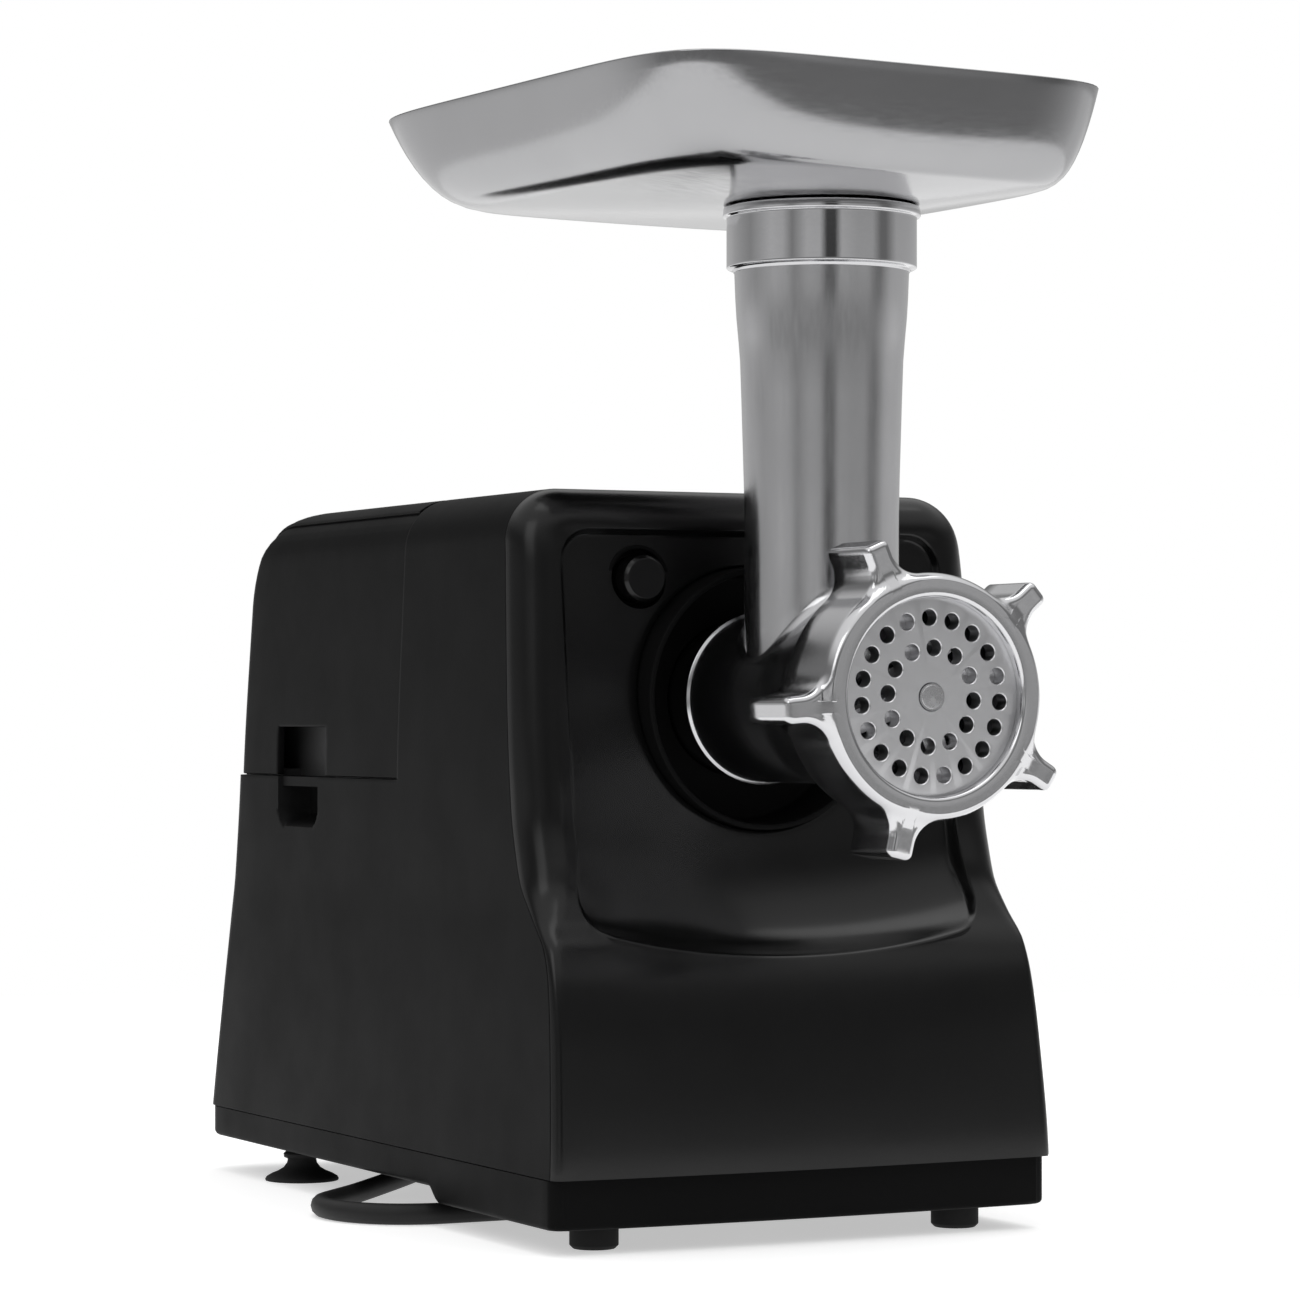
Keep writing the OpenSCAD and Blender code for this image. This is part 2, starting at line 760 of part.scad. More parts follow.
module cooling_fan() color([0.1, 0.1, 0.1]) difference() {
    union() {
        rod_y(0, motor_z, 114, 121, 8);
        rod_y(0, motor_z, 119.5, 121, 28);
        for (a = [0 : 30 : 330])
            translate([0, 0, motor_z])
                rotate([0, a, 0])
                    block(-0.6, 0.6, 114.5, 120.5, 7, 27);
    }
    rod_y(0, motor_z, 110, 125, 4);
}

module brush_holders() color([0.15, 0.1, 0.08]) difference() {
    for (s = [-1, 1]) {
        block(s * 21 - 7, s * 21 + 7, 184, 194, motor_z - 5, motor_z + 5);
        block(s * 21 - 7, s * 21 + 7, 194, 200, motor_z - 3, motor_z + 3);
    }
    for (s = [-1, 1])
        block(s * 20 - 9, s * 20 + 9, 186, 192, motor_z - 3, motor_z + 3);
}

module carbon_brushes() color([0.15, 0.15, 0.16]) difference() {
    for (s = [-1, 1])
        block(s * 18.5 - 7, s * 18.5 + 7, 186, 192, motor_z - 3, motor_z + 3);
    rod_y(0, motor_z, 180, 200, 12.05);
}

// ---- grinding head

module head_casting() color([0.75, 0.75, 0.77]) difference() {
    union() {
        along_axis([[0, -73.5], [33.5, -73.5], [33.5, -50], [31, -50], [barrel_r, -15], [barrel_r, 29.5],
            [24, 29.5], [24, 54], [0, 54]]);
        for (a = [0, 180])
            around_axis(button_turn + a)
                intersection() {
                    rod_y(0, 0, 49.3, 53.5, 27.5);
                    block(0, 40, 40, 60, -9, 9);
                }
        translate([0, tube_y, 0])
            rotate_extrude()
                polygon([[0, axis_z], [23.4, axis_z], [23.4, 226], [24.6, 268], [26.1, 288], [26.2, 295.4],
                    [28.8, 296], [28.8, 311.2], [29.9, 311.6], [29.9, 314.4], [0, 314.4]]);
    }
    along_axis([[0, -80], [plate_r + 0.02, -80], [plate_r + 0.02, -61], [bore_r, -52], [bore_r, 24],
        [12.05, 24], [12.05, 31], [20, 31], [20, 60], [0, 60]]);
    translate([0, tube_y, 0])
        rotate_extrude()
            polygon([[0, axis_z], [20.2, axis_z], [20.2, 211], [22.6, 292.5], [25.2, 292.5], [25.2, 320], [0, 320]]);
}

module plate_holes(count, r, first)
    for (i = [0 : count - 1])
        around_axis(first + i * 360 / count)
            rod_y(r, 0, -80, -60, 2.4);

module mincing_plate() color([0.62, 0.62, 0.64]) difference() {
    rod_y(0, axis_z, -75.7, plate_t - 75.7, plate_r);
    rod_y(0, axis_z, -80, -60, 4);
    plate_holes(19, 23, 91.3);
    plate_holes(12, 14.3, 86);
}

module auger() color([0.72, 0.72, 0.74]) {
    rod_y(0, axis_z, -76, -70, 3.95);
    block_square(-70.1, -61);
    rod_y(0, axis_z, -61.5, 23, 9);
    translate([0, back(22.5), axis_z])
        rotate([90, 0, 0])
            linear_extrude(height = 83, twist = 1020, slices = 60)
                intersection() {
                    circle(r = 22.7, $fn = 32);
                    polygon([[0, 0], [26, -9], [28, 0], [26, 9]]);
                }
    rod_y(0, axis_z, 23, 31, 10);
    hex_y(0, axis_z, 31, 59, 13);
}

// The square end that drives the knife
module block_square(d0, d1)
    block(-4.8, 4.8, d0, d1, axis_z - 4.8, axis_z + 4.8);

module auger_bushing() color([0.9, 0.9, 0.88]) {
    pipe_y(0, axis_z, 24.2, 31, 12, 10);
}

module cutting_knife() color([0.7, 0.7, 0.72]) difference() {
    union() {
        rod_y(0, axis_z, -70.15, -61.5, 10);
        for (a = [0, 90, 180, 270])
            around_axis(a + 20) {
                block(0, 28, -70.15, -66.5, -4, 3);
                block(0, 28, -67, -63.5, -4, 0);
            }
    }
    block_square(-80, -50);
}

module screw_ring() color([0.8, 0.8, 0.82]) difference() {
    union() {
        rod_y(0, axis_z, -77, -52, ring_r);
        cone_y(0, axis_z, -79, -77, ring_r - 2, ring_r);
        for (i = [0 : 4])
            around_axis(113 + 72 * i)
                difference() {
                    intersection() {
                        block(30, 48, -77, -53, -9, 9);
                        rod_y(0, 0, -80, -50, 48);
                    }
                    for (s = [-1, 1])
                        rod_y(47, s * 13, -90, -40, 9);
                }
    }
    rod_y(0, axis_z, -90, -40, 28.8);
    rod_y(0, axis_z, -75.7, -40, 33.58);
}

// ---- food tray

function corner(u) = abs(u) < 0.0001 ? 0.0001 : u;
// Point at angle a on a rounded rectangle w by l with corner power p
function rim_point(w, l, p, a) =
    let (c = corner(cos(a)), s = corner(sin(a)), k = (abs(c) ^ p + abs(s) ^ p) ^ (-1 / p))
    [w / 2 * k * c, l / 2 * k * s];
tray_back = 37.8;
tray_shift = -7.4;
neck_out = 25.14;
function tray_ring(t, drop) =
    let (grow = t ^ 0.92, z = 314.6 + drop + 7 * t + (rim_z - 321.6) * max(0, (t - 0.6) / 0.4) ^ 3)
    [for (j = [0 : 63]) let (a = 360 * j / 64, rim = rim_point(tray_w, tray_l, 6, a),
        hub = [28 * cos(a), 28 * sin(a)], away = rim + [tray_shift, tray_back])
        [hub[0] + (away[0] - hub[0]) * grow, hub[1] + (away[1] - hub[1]) * grow, z]];

module food_tray() color([0.8, 0.8, 0.81])
    translate([0, tube_y, 0])
        rotate([0, 0, tray_turn]) {
            steps = [0, 0.3, 0.6, 0.72, 0.81, 0.88, 0.93, 0.97, 1];
            under = [for (t = steps) tray_ring(t, 0)];
            over = [for (i = [len(steps) - 1 : -1 : 0]) let (t = steps[i], flush = t > 0.99 ? 1.3 : 0)
                [for (p = tray_ring(t, 1.3))
                    [p[0] * (1 - 0.018 * t), p[1] - (p[1] - tray_back) * 0.016 * t, p[2] - flush]]];
            rings = concat(under, over);
            m = len(rings);
            polyhedron(points = [for (r = rings) each r], faces = [for (i = [0 : m - 1], j = [0 : 63])
                [i * 64 + j, ((i + 1) % m) * 64 + j, ((i + 1) % m) * 64 + (j + 1) % 64, i * 64 + (j + 1) % 64]],
                convexity = 6);
            difference() {
                union() {
                    translate([0, 0, 314.6]) cylinder(r = 29, h = 1.1);
                    translate([0, 0, 294]) cylinder(r = neck_out, h = 21);
                }
                translate([0, 0, 290]) cylinder(r = neck_out - 1, h = 40);
            }
        }

// ---- cord, coil and plug

module cord_strain_relief() color([0.05, 0.05, 0.05])
    translate([-20, back(225), 5.2])
        rotate([0, 0, exit_turn])
            rotate([0, 90, 0]) {
                cylinder(r = 4.4, h = 8);
                translate([0, 0, 8]) cylinder(r1 = 5, r2 = 3.6, h = 20.4);
            }

module mains_cord() color([0.04, 0.04, 0.04]) {
    run = [for (i = [0 : len(cord_route) - 1])
        [cord_route[i][0], back(cord_route[i][1]), run_z + max(0, 1.8 - 0.6 * i)]];
    tail = [for (p = tail_route) [p[0], back(p[1]), p[2]]];
    for (path = [run, tail])
        ring_sweep([for (i = [0 : len(path) - 1]) route_ring(path[i], route_dir(path, i), run_z, 10)]);
}

module cord_coil() color([0.04, 0.04, 0.04])
    translate([coil_x, back(coil_d), 0])
        rotate_extrude()
            polygon([[coil_mid_r - 11, 0.5], [coil_mid_r + 11, 0.5], [coil_mid_r + 11, 6],
                [coil_mid_r + 6.5, 12.7], [coil_mid_r - 7.5, 12.7], [coil_mid_r - 11, 6]]);

module coil_tie() color([0.05, 0.05, 0.05])
    translate([coil_x, back(coil_d), 0])
        rotate([0, 0, 250])
            difference() {
                translate([coil_mid_r - 12, -2.5, 0]) cube([24, 5, 13.6]);
                translate([coil_mid_r - 11.2, -3, 0.5]) cube([22.4, 6, 12.2]);
            }

module plug_body() color([0.04, 0.04, 0.04]) {
    translate([plug_x, back(plug_d), plug_z])
        rotate([0, 90, 0])
            cylinder(r1 = 4.4, r2 = 6.5, h = 20);
    translate([plug_x + 19, back(plug_d), plug_z])
        rotate([0, 90, 0])
            intersection() {
                cylinder(r = 13, h = 22);
                translate([-7.6, -20, -1]) cube([15.2, 40, 24]);
            }
}

module plug_pins() color([0.8, 0.8, 0.82])
    for (s = [-1, 1])
        translate([plug_x + 41, back(plug_d) + s * 9.5, plug_z])
            rotate([0, 90, 0])
                cylinder(r = 2.4, h = 19);

base_tray();
front_feet();
suction_feet();
base_screws();
main_housing();
front_fascia();
neck_socket();
storage_tub();
storage_lid();
lid_top_panel();
lid_hinge_pin();
control_bezel();
power_button();
reverse_button();
power_spring();
reverse_spring();
button_switches();
circuit_board();
release_button();
release_latch();
release_spring();
gearbox_case();
gearbox_cover();
gearbox_screws();
output_bearings();
output_shaft();
output_gear();
layshaft();
layshaft_gear();
layshaft_bushes();
motor_front_bracket();
motor_rear_bracket();
motor_bearings();
motor_mounts();
stator_core();
field_coils();
armature_core();
armature_windings();
commutator();
motor_shaft();
motor_pinion();
cooling_fan();
brush_holders();
carbon_brushes();
head_casting();
mincing_plate();
auger();
auger_bushing();
cutting_knife();
screw_ring();
food_tray();
cord_strain_relief();
mains_cord();
cord_coil();
coil_tie();
plug_body();
plug_pins();
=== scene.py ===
import math

import bmesh
import bpy
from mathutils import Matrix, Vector


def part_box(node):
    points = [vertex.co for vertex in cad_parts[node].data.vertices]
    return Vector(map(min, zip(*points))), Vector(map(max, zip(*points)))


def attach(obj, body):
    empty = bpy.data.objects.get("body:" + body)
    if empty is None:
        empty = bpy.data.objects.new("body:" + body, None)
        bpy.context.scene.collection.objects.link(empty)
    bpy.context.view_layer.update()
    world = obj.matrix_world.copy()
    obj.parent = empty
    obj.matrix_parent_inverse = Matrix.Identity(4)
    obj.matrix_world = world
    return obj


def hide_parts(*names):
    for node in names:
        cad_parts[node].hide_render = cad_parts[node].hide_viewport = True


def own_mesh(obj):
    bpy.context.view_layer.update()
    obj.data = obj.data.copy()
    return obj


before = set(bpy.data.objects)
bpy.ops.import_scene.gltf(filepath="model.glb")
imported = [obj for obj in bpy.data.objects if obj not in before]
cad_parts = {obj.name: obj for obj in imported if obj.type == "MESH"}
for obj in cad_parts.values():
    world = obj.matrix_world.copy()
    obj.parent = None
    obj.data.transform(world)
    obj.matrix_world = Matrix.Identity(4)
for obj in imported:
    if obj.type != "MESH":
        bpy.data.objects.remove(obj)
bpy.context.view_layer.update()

# Every length below is in millimetres: x, depth behind the base's front edge, height above the table.
MM = 0.001
# The frame's origin lies FRONT behind that edge.
FRONT = 128
AXIS_Z = sum(corner.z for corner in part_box("mincing_plate")) / 2 / MM
TOP_Z = 230.8
SEAM_Z = 23
WALL = 2.4
ROUND_R, ROUND_X, ROUND_Z = 17.5, 61.9, 213.3
REAR_R, REAR_D, REAR_Z = 35, 236.3, 195.8
CORNER_R = 12
LID_FRONT, LID_LOW, LID_INSET = 125.6, 140.5, 1
PIVOT_D, PIVOT_Z = 128.2, 228.2
RECESS_HALF, RECESS_TOP, LIP_Z, LIP_BOW = 66, 217.5, 87.5, 650
BUTTON_X, BUTTON_Z = -39, 203
# The push buttons on the right side: name, height and radius
CONTROL_D, BUTTONS = 92, (("power", 196, 8), ("reverse", 173, 6))
TUBE_D, FEED_R, FOOT_R = -9.5, 20.2, 23.4
CORD_R = 3.4
CAMERA_TURN = 26.4


# ---- numbers


def smooth_step(low, high, value):
    t = min(max((value - low) / (high - low), 0.0), 1.0)
    return t * t * (3 - 2 * t)


def mix(a, b, t):
    return a + (b - a) * t


def curve_through(points):
    """A smooth function through (t, value) points that doesn't overshoot them."""
    t = [p[0] for p in points]
    v = [p[1] for p in points]
    slope = [(v[i + 1] - v[i]) / (t[i + 1] - t[i]) for i in range(len(t) - 1)]
    lean = [slope[0]]
    for a, b in zip(slope, slope[1:]):
        lean.append(0.0 if a * b <= 0 else 2 * a * b / (a + b))
    lean.append(slope[-1])

    def value(at):
        if at <= t[0]:
            return v[0] + slope[0] * (at - t[0])
        if at >= t[-1]:
            return v[-1] + slope[-1] * (at - t[-1])
        i = max(k for k in range(len(t) - 1) if t[k] <= at)
        width = t[i + 1] - t[i]
        s = (at - t[i]) / width
        return (v[i] * (1 + 2 * s) * (1 - s) ** 2 + lean[i] * width * s * (1 - s) ** 2
                + v[i + 1] * s * s * (3 - 2 * s) + lean[i + 1] * width * s * s * (s - 1))

    return value


def rounded(points, steps=4):
    """A closed outline of (a, b) or (a, b, radius) corners, with the radii worked in as arcs."""
    made = []
    for i, corner in enumerate(points):
        here = Vector(corner[:2])
        radius = corner[2] if len(corner) > 2 else 0
        back = Vector(points[i - 1][:2]) - here
        on = Vector(points[(i + 1) % len(points)][:2]) - here
        if radius <= 0 or back.length < 1e-6 or on.length < 1e-6:
            made.append(tuple(here))
            continue
        half = back.angle(on) / 2
        if half > math.radians(89):
            made.append(tuple(here))
            continue
        reach = min(radius / math.tan(half), 0.49 * back.length, 0.49 * on.length)
        start = here + back.normalized() * reach
        end = here + on.normalized() * reach
        centre = here + (back.normalized() + on.normalized()).normalized() * reach / math.cos(half)
        first, last = start - centre, end - centre
        turn = first.angle_signed(last)
        for k in range(steps + 1):
            a = -turn * k / steps
            c, s = math.cos(a), math.sin(a)
            made.append((centre.x + first.x * c - first.y * s, centre.y + first.x * s + first.y * c))
    return made


def circle(steps, whole=2 * math.pi, last=0):
    """The cosine and sine of evenly spaced angles; with last 1, the end of the arc is one of them."""
    angles = [whole * k / steps for k in range(steps + last)]
    return [(math.cos(a), math.sin(a)) for a in angles]


def quarter(steps):
    return circle(steps, math.pi / 2, 1)


def last_inside(inside, low, high):
    """The highest value between low and high that is still inside, found by halving."""
    for _ in range(30):
        middle = (low + high) / 2
        low, high = (middle, high) if inside(middle) else (low, middle)
    return low


def reach_to(inside, centre, angle):
    """How far from centre along angle a point is still inside."""
    c, s = math.cos(angle), math.sin(angle)
    return last_inside(lambda r: inside(centre[0] + c * r, centre[1] + s * r), 0.0, 260)


def joined(a, b, radius):
    """Distance to the nearer of two edges, with the corner between them rounded."""
    if a > -radius and b > -radius:
        return math.hypot(a + radius, b + radius) - radius
    return max(a, b)


# ---- meshes


def place(x, d, z):
    return Vector((x, d - FRONT, z)) * MM


def shown(name, data):
    """A new object, linked into the scene."""
    made = bpy.data.objects.new(name, data)
    bpy.context.scene.collection.objects.link(made)
    return made


def point_on(axis, along, a, b):
    """The point that is along an axis (0, 1 or 2), and at a and b in the other two."""
    point = [a, b]
    point.insert(axis, along)
    return tuple(point)


class Shape:
    """The points and faces of one piece, in x, depth and height."""

    def __init__(self, name, material):
        self.name = name
        self.material = material
        self.points = []
        self.faces = []

    def add(self, points):
        first = len(self.points)
        self.points += points
        return first

    def grid(self, rows, around=False, close=False, skip=None):
        """Quads between rows of points; around joins a row's ends, close the last row to the first."""
        count = len(rows[0])
        first = self.add([p for row in rows for p in row])
        for i in range(len(rows) - (0 if close else 1)):
            for j in range(count - (0 if around else 1)):
                a = first + i * count
                b = first + (i + 1) % len(rows) * count
                k = (j + 1) % count
                face = (a + j, a + k, b + k, b + j)
                if skip and skip(*[sum(self.points[v][n] for v in face) / 4 for n in range(3)]):
                    continue
                self.faces.append(face)

    def cap(self, row):
        first = self.add(row)
        self.faces.append(tuple(range(first, first + len(row))))

    def tube(self, rows):
        """Rows of points joined round, with both ends capped."""
        self.grid(rows, around=True)
        self.cap(rows[0])
        self.cap(rows[-1])

    def lathe(self, outline, axis="y", centre=(0, AXIS_Z), steps=64):
        """Turns an outline of (radius, place along the axis) about an axis through centre."""
        n, (a, b) = "xyz".index(axis), centre
        rows = [[point_on(n, along, a + r * c, b + r * s) for c, s in circle(steps)] for r, along in outline]
        self.grid(rows, around=True, close=True)

    def block(self, low, high, axis=2, round_r=0.0, steps=3):
        """A box with its edges along one axis rounded."""
        u, v = [n for n in range(3) if n != axis]
        corners = [(low[u], low[v]), (high[u], low[v]), (high[u], high[v]), (low[u], high[v])]
        outline = rounded([(*corner, round_r) for corner in corners], steps)
        self.tube([[point_on(axis, level, a, b) for a, b in outline] for level in (low[axis], high[axis])])

    def object(self):
        mesh = bpy.data.meshes.new(self.name)
        mesh.from_pydata([place(*p) for p in self.points], [], self.faces)
        shape = bmesh.new()
        shape.from_mesh(mesh)
        bmesh.ops.remove_doubles(shape, verts=shape.verts, dist=2e-6)
        bmesh.ops.dissolve_degenerate(shape, edges=shape.edges, dist=1e-6)
        bmesh.ops.recalc_face_normals(shape, faces=shape.faces)
        shape.to_mesh(mesh)
        shape.free()
        mesh.materials.append(MATERIALS[self.material])
        return shown(self.name, mesh)

    def piece(self, body, *nodes, slot=None, sharp=32):
        return piece(self.object(), slot or self.material, body, *nodes, sharp=sharp)


def thicken(obj, thickness):
    solid = obj.modifiers.new("wall", "SOLIDIFY")
    solid.thickness = thickness * MM
    solid.offset = -1.0
    solid.use_even_offset = True
    return obj


def soften(obj, width, segments=2, angle=40):
    edge = obj.modifiers.new("edges", "BEVEL")
    edge.width = width * MM
    edge.segments = segments
    edge.limit_method = "ANGLE"
    edge.angle_limit = math.radians(angle)
    edge.use_clamp_overlap = True
    return obj


def cut(obj, shape):
    """Takes a shape away from obj."""
    cutter = shape.object()
    hole = obj.modifiers.new("cut", "BOOLEAN")
    hole.operation = "DIFFERENCE"
    hole.solver = "EXACT"
    hole.object = cutter
    settle(obj)
    bpy.data.objects.remove(cutter)
    return obj


def settle(obj):
    """Applies an object's modifiers."""
    bpy.context.view_layer.update()
    shown = obj.evaluated_get(bpy.context.evaluated_depsgraph_get())
    mesh = bpy.data.meshes.new_from_object(shown)
    old = obj.data
    obj.modifiers.clear()
    obj.data = mesh
    bpy.data.meshes.remove(old)
    return obj


def piece(obj, slot, body, *nodes, sharp=32):
    """Finishes an object as a piece of the part: smooth but for its sharp edges, riding on a body."""
    settle(obj)
    obj.data.polygons.foreach_set("use_smooth", [True] * len(obj.data.polygons))
    obj.data.set_sharp_from_angle(angle=math.radians(sharp))
    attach(obj, body)
    if nodes:
        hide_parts(*nodes)
    return obj


# ---- materials


def grey(value):
    return (value, value, value * 1.02, 1)


class Maker:
    """Adds nodes to the tree of a material or a world, with short calls."""

    def __init__(self, owner, where="Object"):
        self.tree = owner.node_tree
        self.where = self.add("TexCoord", {}, where)

    def fill(self, node, inputs):
        """Sets a node's inputs, each to a value or to another node's output."""
        for key, value in inputs.items():
            if isinstance(value, bpy.types.NodeSocket):
                self.tree.links.new(value, node.inputs[key])
            else:
                node.inputs[key].default_value = value

    def add(self, kind, inputs, output=None, **settings):
        """A new node, or the named one of its outputs."""
        node = self.tree.nodes.new("ShaderNode" + kind)
        for key, value in settings.items():
            setattr(node, key, value)
        self.fill(node, inputs)
        return node.outputs[output] if output else node

    def noise(self, scale, detail, rough, where=None):
        inputs = {"Scale": scale, "Detail": detail, "Roughness": rough, "Vector": where or self.where}
        return self.add("TexNoise", inputs, "Fac")

    def ranged(self, value, low, high, into=(0.3, 0.7)):
        inputs = {"Value": value, "From Min": into[0], "From Max": into[1], "To Min": low, "To Max": high}
        return self.add("MapRange", inputs, "Result")

    def mixed(self, share, a, b):
        return self.add("Mix", {"Factor": share, "A": a, "B": b}, "Result", data_type="RGBA")

    def toned(self, value, tone, dark, light):
        """A tone made slightly darker and lighter by a value."""
        return self.mixed(self.ranged(value, 0, 1), grey(tone * dark), grey(tone * light))

    def bump(self, value, distance, under=None):
        inputs = {"Strength": 1.0, "Distance": distance, "Height": value}
        if under:
            inputs["Normal"] = under
        return self.add("Bump", inputs, "Normal")

    def surface(self, inputs):
        self.fill(self.tree.nodes["Principled BSDF"], inputs)


MATERIALS = {}


def new_material(name, tone, metallic, rough, level=0.5, coat=0.0):
    material = bpy.data.materials.new(name)
    material.use_nodes = True
    MATERIALS[name] = material
    m = Maker(material)
    m.surface({"Base Color": tone, "Metallic": metallic, "Roughness": rough, "Specular IOR Level": level,
               "Coat Weight": coat, "Coat Roughness": 0.25})
    return m


def moulded(name, tone, rough, grain=0.02, coat=0.0, level=0.5):
    """Moulded plastic: a fine spark-eroded grain, faint flow marks and handling wear in its gloss."""
    m = new_material(name, grey(tone), 0, rough, level, coat)
    m.surface({"Base Color": m.toned(m.noise(9, 3, 0.5), tone, 0.9, 1.1),
               "Roughness": m.ranged(m.noise(35, 4, 0.6), rough * 0.9, rough * 1.12),
               "Normal": m.bump(m.noise(1400, 2, 0.6), grain * MM)})


def metal(name, tone, rough, grain=0.01, scratch=(1, 1, 1), spread=0.2, pits=0.0, bright_above=None):
    """Worked metal: fine scratches along its working direction, a slight unevenness, a polished top."""
    m = new_material(name, grey(tone), 1, rough)
    stretched = m.add("Mapping", {"Scale": scratch, "Vector": m.where}, "Vector")
    lines = m.noise(900, 3, 0.6, stretched)
    gloss = m.ranged(lines, rough * (1 - spread), rough * (1 + spread))
    if bright_above:
        height = m.add("SeparateXYZ", {"Vector": m.where}, "Z")
        share = m.ranged(height, 1.0, 0.35, (bright_above, bright_above + 0.001))
        gloss = m.add("Math", {0: gloss, 1: share}, "Value", operation="MULTIPLY")
    normal = m.bump(lines, grain * MM)
    if pits:
        normal = m.bump(m.noise(260, 4, 0.7), pits * MM, normal)
    colour = m.toned(m.noise(14, 3, 0.55), tone, 0.94, 1.03)
    m.surface({"Base Color": colour, "Roughness": gloss, "Normal": normal})


def rubber(name, tone, rough):
    m = new_material(name, grey(tone), 0, rough, 0.3)
    m.surface({"Base Color": m.toned(m.noise(60, 4, 0.55), tone, 0.8, 1.25),
               "Normal": m.bump(m.noise(700, 3, 0.55), 0.03 * MM)})


moulded("black_base", 0.005, 0.45, 0.02, level=0.03)
moulded("black_housing", 0.006, 0.4, 0.018, level=0.025)
moulded("black_gloss", 0.003, 0.22, 0.006, level=0.32)
moulded("dark_grey", 0.03, 0.5, 0.03)
moulded("button_grey", 0.1, 0.4, 0.01, coat=0.2)
rubber("rubber", 0.012, 0.75)
rubber("cord_black", 0.01, 0.55)
metal("steel", 0.5, 0.28)
metal("ground_steel", 0.61, 0.36, 0.006, (1, 1, 1), 0.12)
metal("polished_steel", 0.355, 0.15, 0.003, (0.15, 1, 1))
metal("laminations", 0.2, 0.45, 0.02, (0.05, 4, 0.05))
metal("cast_aluminium", 0.53, 0.19, 0.004, (1, 1, 0.12), pits=0.01, bright_above=0.295)
metal("polished_aluminium", 0.61, 0.14, 0.002, pits=0.004)
metal("zinc", 0.5, 0.34)
moulded("gear_nylon", 0.6, 0.45)
metal("bronze", 0.35, 0.4)
metal("copper", 0.3, 0.35)
moulded("board_green", 0.05, 0.4)


def tint(name, colour):
    """Gives a material made in grey its own colour."""
    for node in MATERIALS[name].node_tree.nodes:
        if node.bl_idname == "ShaderNodeMix":
            node.inputs["A"].default_value = (*[0.85 * c for c in colour], 1)
            node.inputs["B"].default_value = (*[min(1.0, 1.1 * c) for c in colour], 1)


tint("bronze", (0.5, 0.33, 0.16))
tint("copper", (0.5, 0.2, 0.08))
tint("board_green", (0.02, 0.12, 0.06))


# ---- the camera, the floor and the light


def make_camera():
    data = bpy.data.cameras.new("camera")
    data.lens = 120.3
    data.sensor_width = 36
    data.shift_y = 0.05
    data.clip_start, data.clip_end = 0.05, 60
    camera = shown("camera", data)
    camera.location = (-0.6313, -1.2924, 0.161)
    camera.rotation_euler = (math.radians(90), 0, math.radians(-CAMERA_TURN))
    bpy.context.scene.camera = camera


# The studio round the part, as brightness by the angle to the right of the camera, in degrees:
# level with the part, and below it.
LEVEL = [(-180, 0.5), (-144, 0.6), (-98, 0.38), (-66, 0.66), (-50, 0.6), (-38, 0.3), (-20, 0.62),
         (-4, 0.6), (4, 0.06), (14, 0.06), (22, 0.6), (42, 0.5), (62, 0.5), (74, 0.2), (82, 0.2),
         (100, 0.55), (140, 0.56), (180, 0.5)]
BELOW = [(-180, 0.95), (-115, 0.9), (-75, 0.34), (0, 0.28), (75, 0.3), (115, 0.9), (180, 0.95)]
# Above it, as brightness by the height of the direction
ABOVE = [(0.1, 0.2), (0.35, 0.22), (0.6, 0.9), (1.0, 1.1)]


def grey_ramp(m, stops, value):
    ramp = m.add("ValToRGB", {"Fac": value})
    first, last = ramp.color_ramp.elements
    for element, (at, tone) in ((first, stops[0]), (last, stops[-1])):
        element.position = at
        element.color = (tone, tone, tone, 1)
    for at, tone in stops[1:-1]:
        ramp.color_ramp.elements.new(at).color = (tone, tone, tone, 1)
    return ramp.outputs["Color"]


def make_world():
    """A studio to be mirrored in the metal; the camera itself sees plain white."""
    world = bpy.data.worlds.new("studio")
    bpy.context.scene.world = world
    world.use_nodes = True
    world.node_tree.nodes.clear()
    m = Maker(world, "Generated")
    rotation = (0, 0, math.radians(90 + CAMERA_TURN))
    towards = m.add("Mapping", {"Rotation": rotation, "Vector": m.where}, "Vector")
    split = m.add("SeparateXYZ", {"Vector": towards})
    x, y, z = [split.outputs[axis] for axis in "XYZ"]
    turn = m.add("Math", {0: y, 1: x}, "Value", operation="ARCTAN2")
    share = m.ranged(turn, 0, 1, (-math.pi, math.pi))
    turns = [[(angle / 360 + 0.5, tone) for angle, tone in stops] for stops in (LEVEL, BELOW)]
    level, below = [grey_ramp(m, stops, share) for stops in turns]
    upper = m.mixed(m.ranged(z, 0, 1, (0.1, 0.22)), level, grey_ramp(m, ABOVE, z))
    whole = m.mixed(m.ranged(z, 0, 1, (-0.03, 0.03)), below, upper)
    studio = m.add("Background", {"Color": whole}, "Background")
    plain = m.add("Background", {"Color": (1, 1, 1, 1)}, "Background")
    seen = m.add("LightPath", {}, "Is Camera Ray")
    m.add("OutputWorld", {"Surface": m.add("MixShader", {"Fac": seen, 1: studio, 2: plain}, "Shader")})


def area_light(name, place_at, aim, size, power):
    data = bpy.data.lights.new(name, "AREA")
    data.shape = "RECTANGLE"
    data.size, data.size_y = size
    data.energy = power
    light = shown(name, data)
    light.location = place_at
    light.rotation_mode = "QUATERNION"
    light.rotation_quaternion = (Vector(aim) - Vector(place_at)).to_track_quat("-Z", "Y")


def make_lights():
    area_light("top_softbox", (0.1, -0.2, 1.9), (0, -0.05, 0.15), (1.6, 1.2), 8)
    area_light("left_softbox", (-1.7, -1.0, 1.3), (0, -0.05, 0.2), (1.0, 1.0), 4)


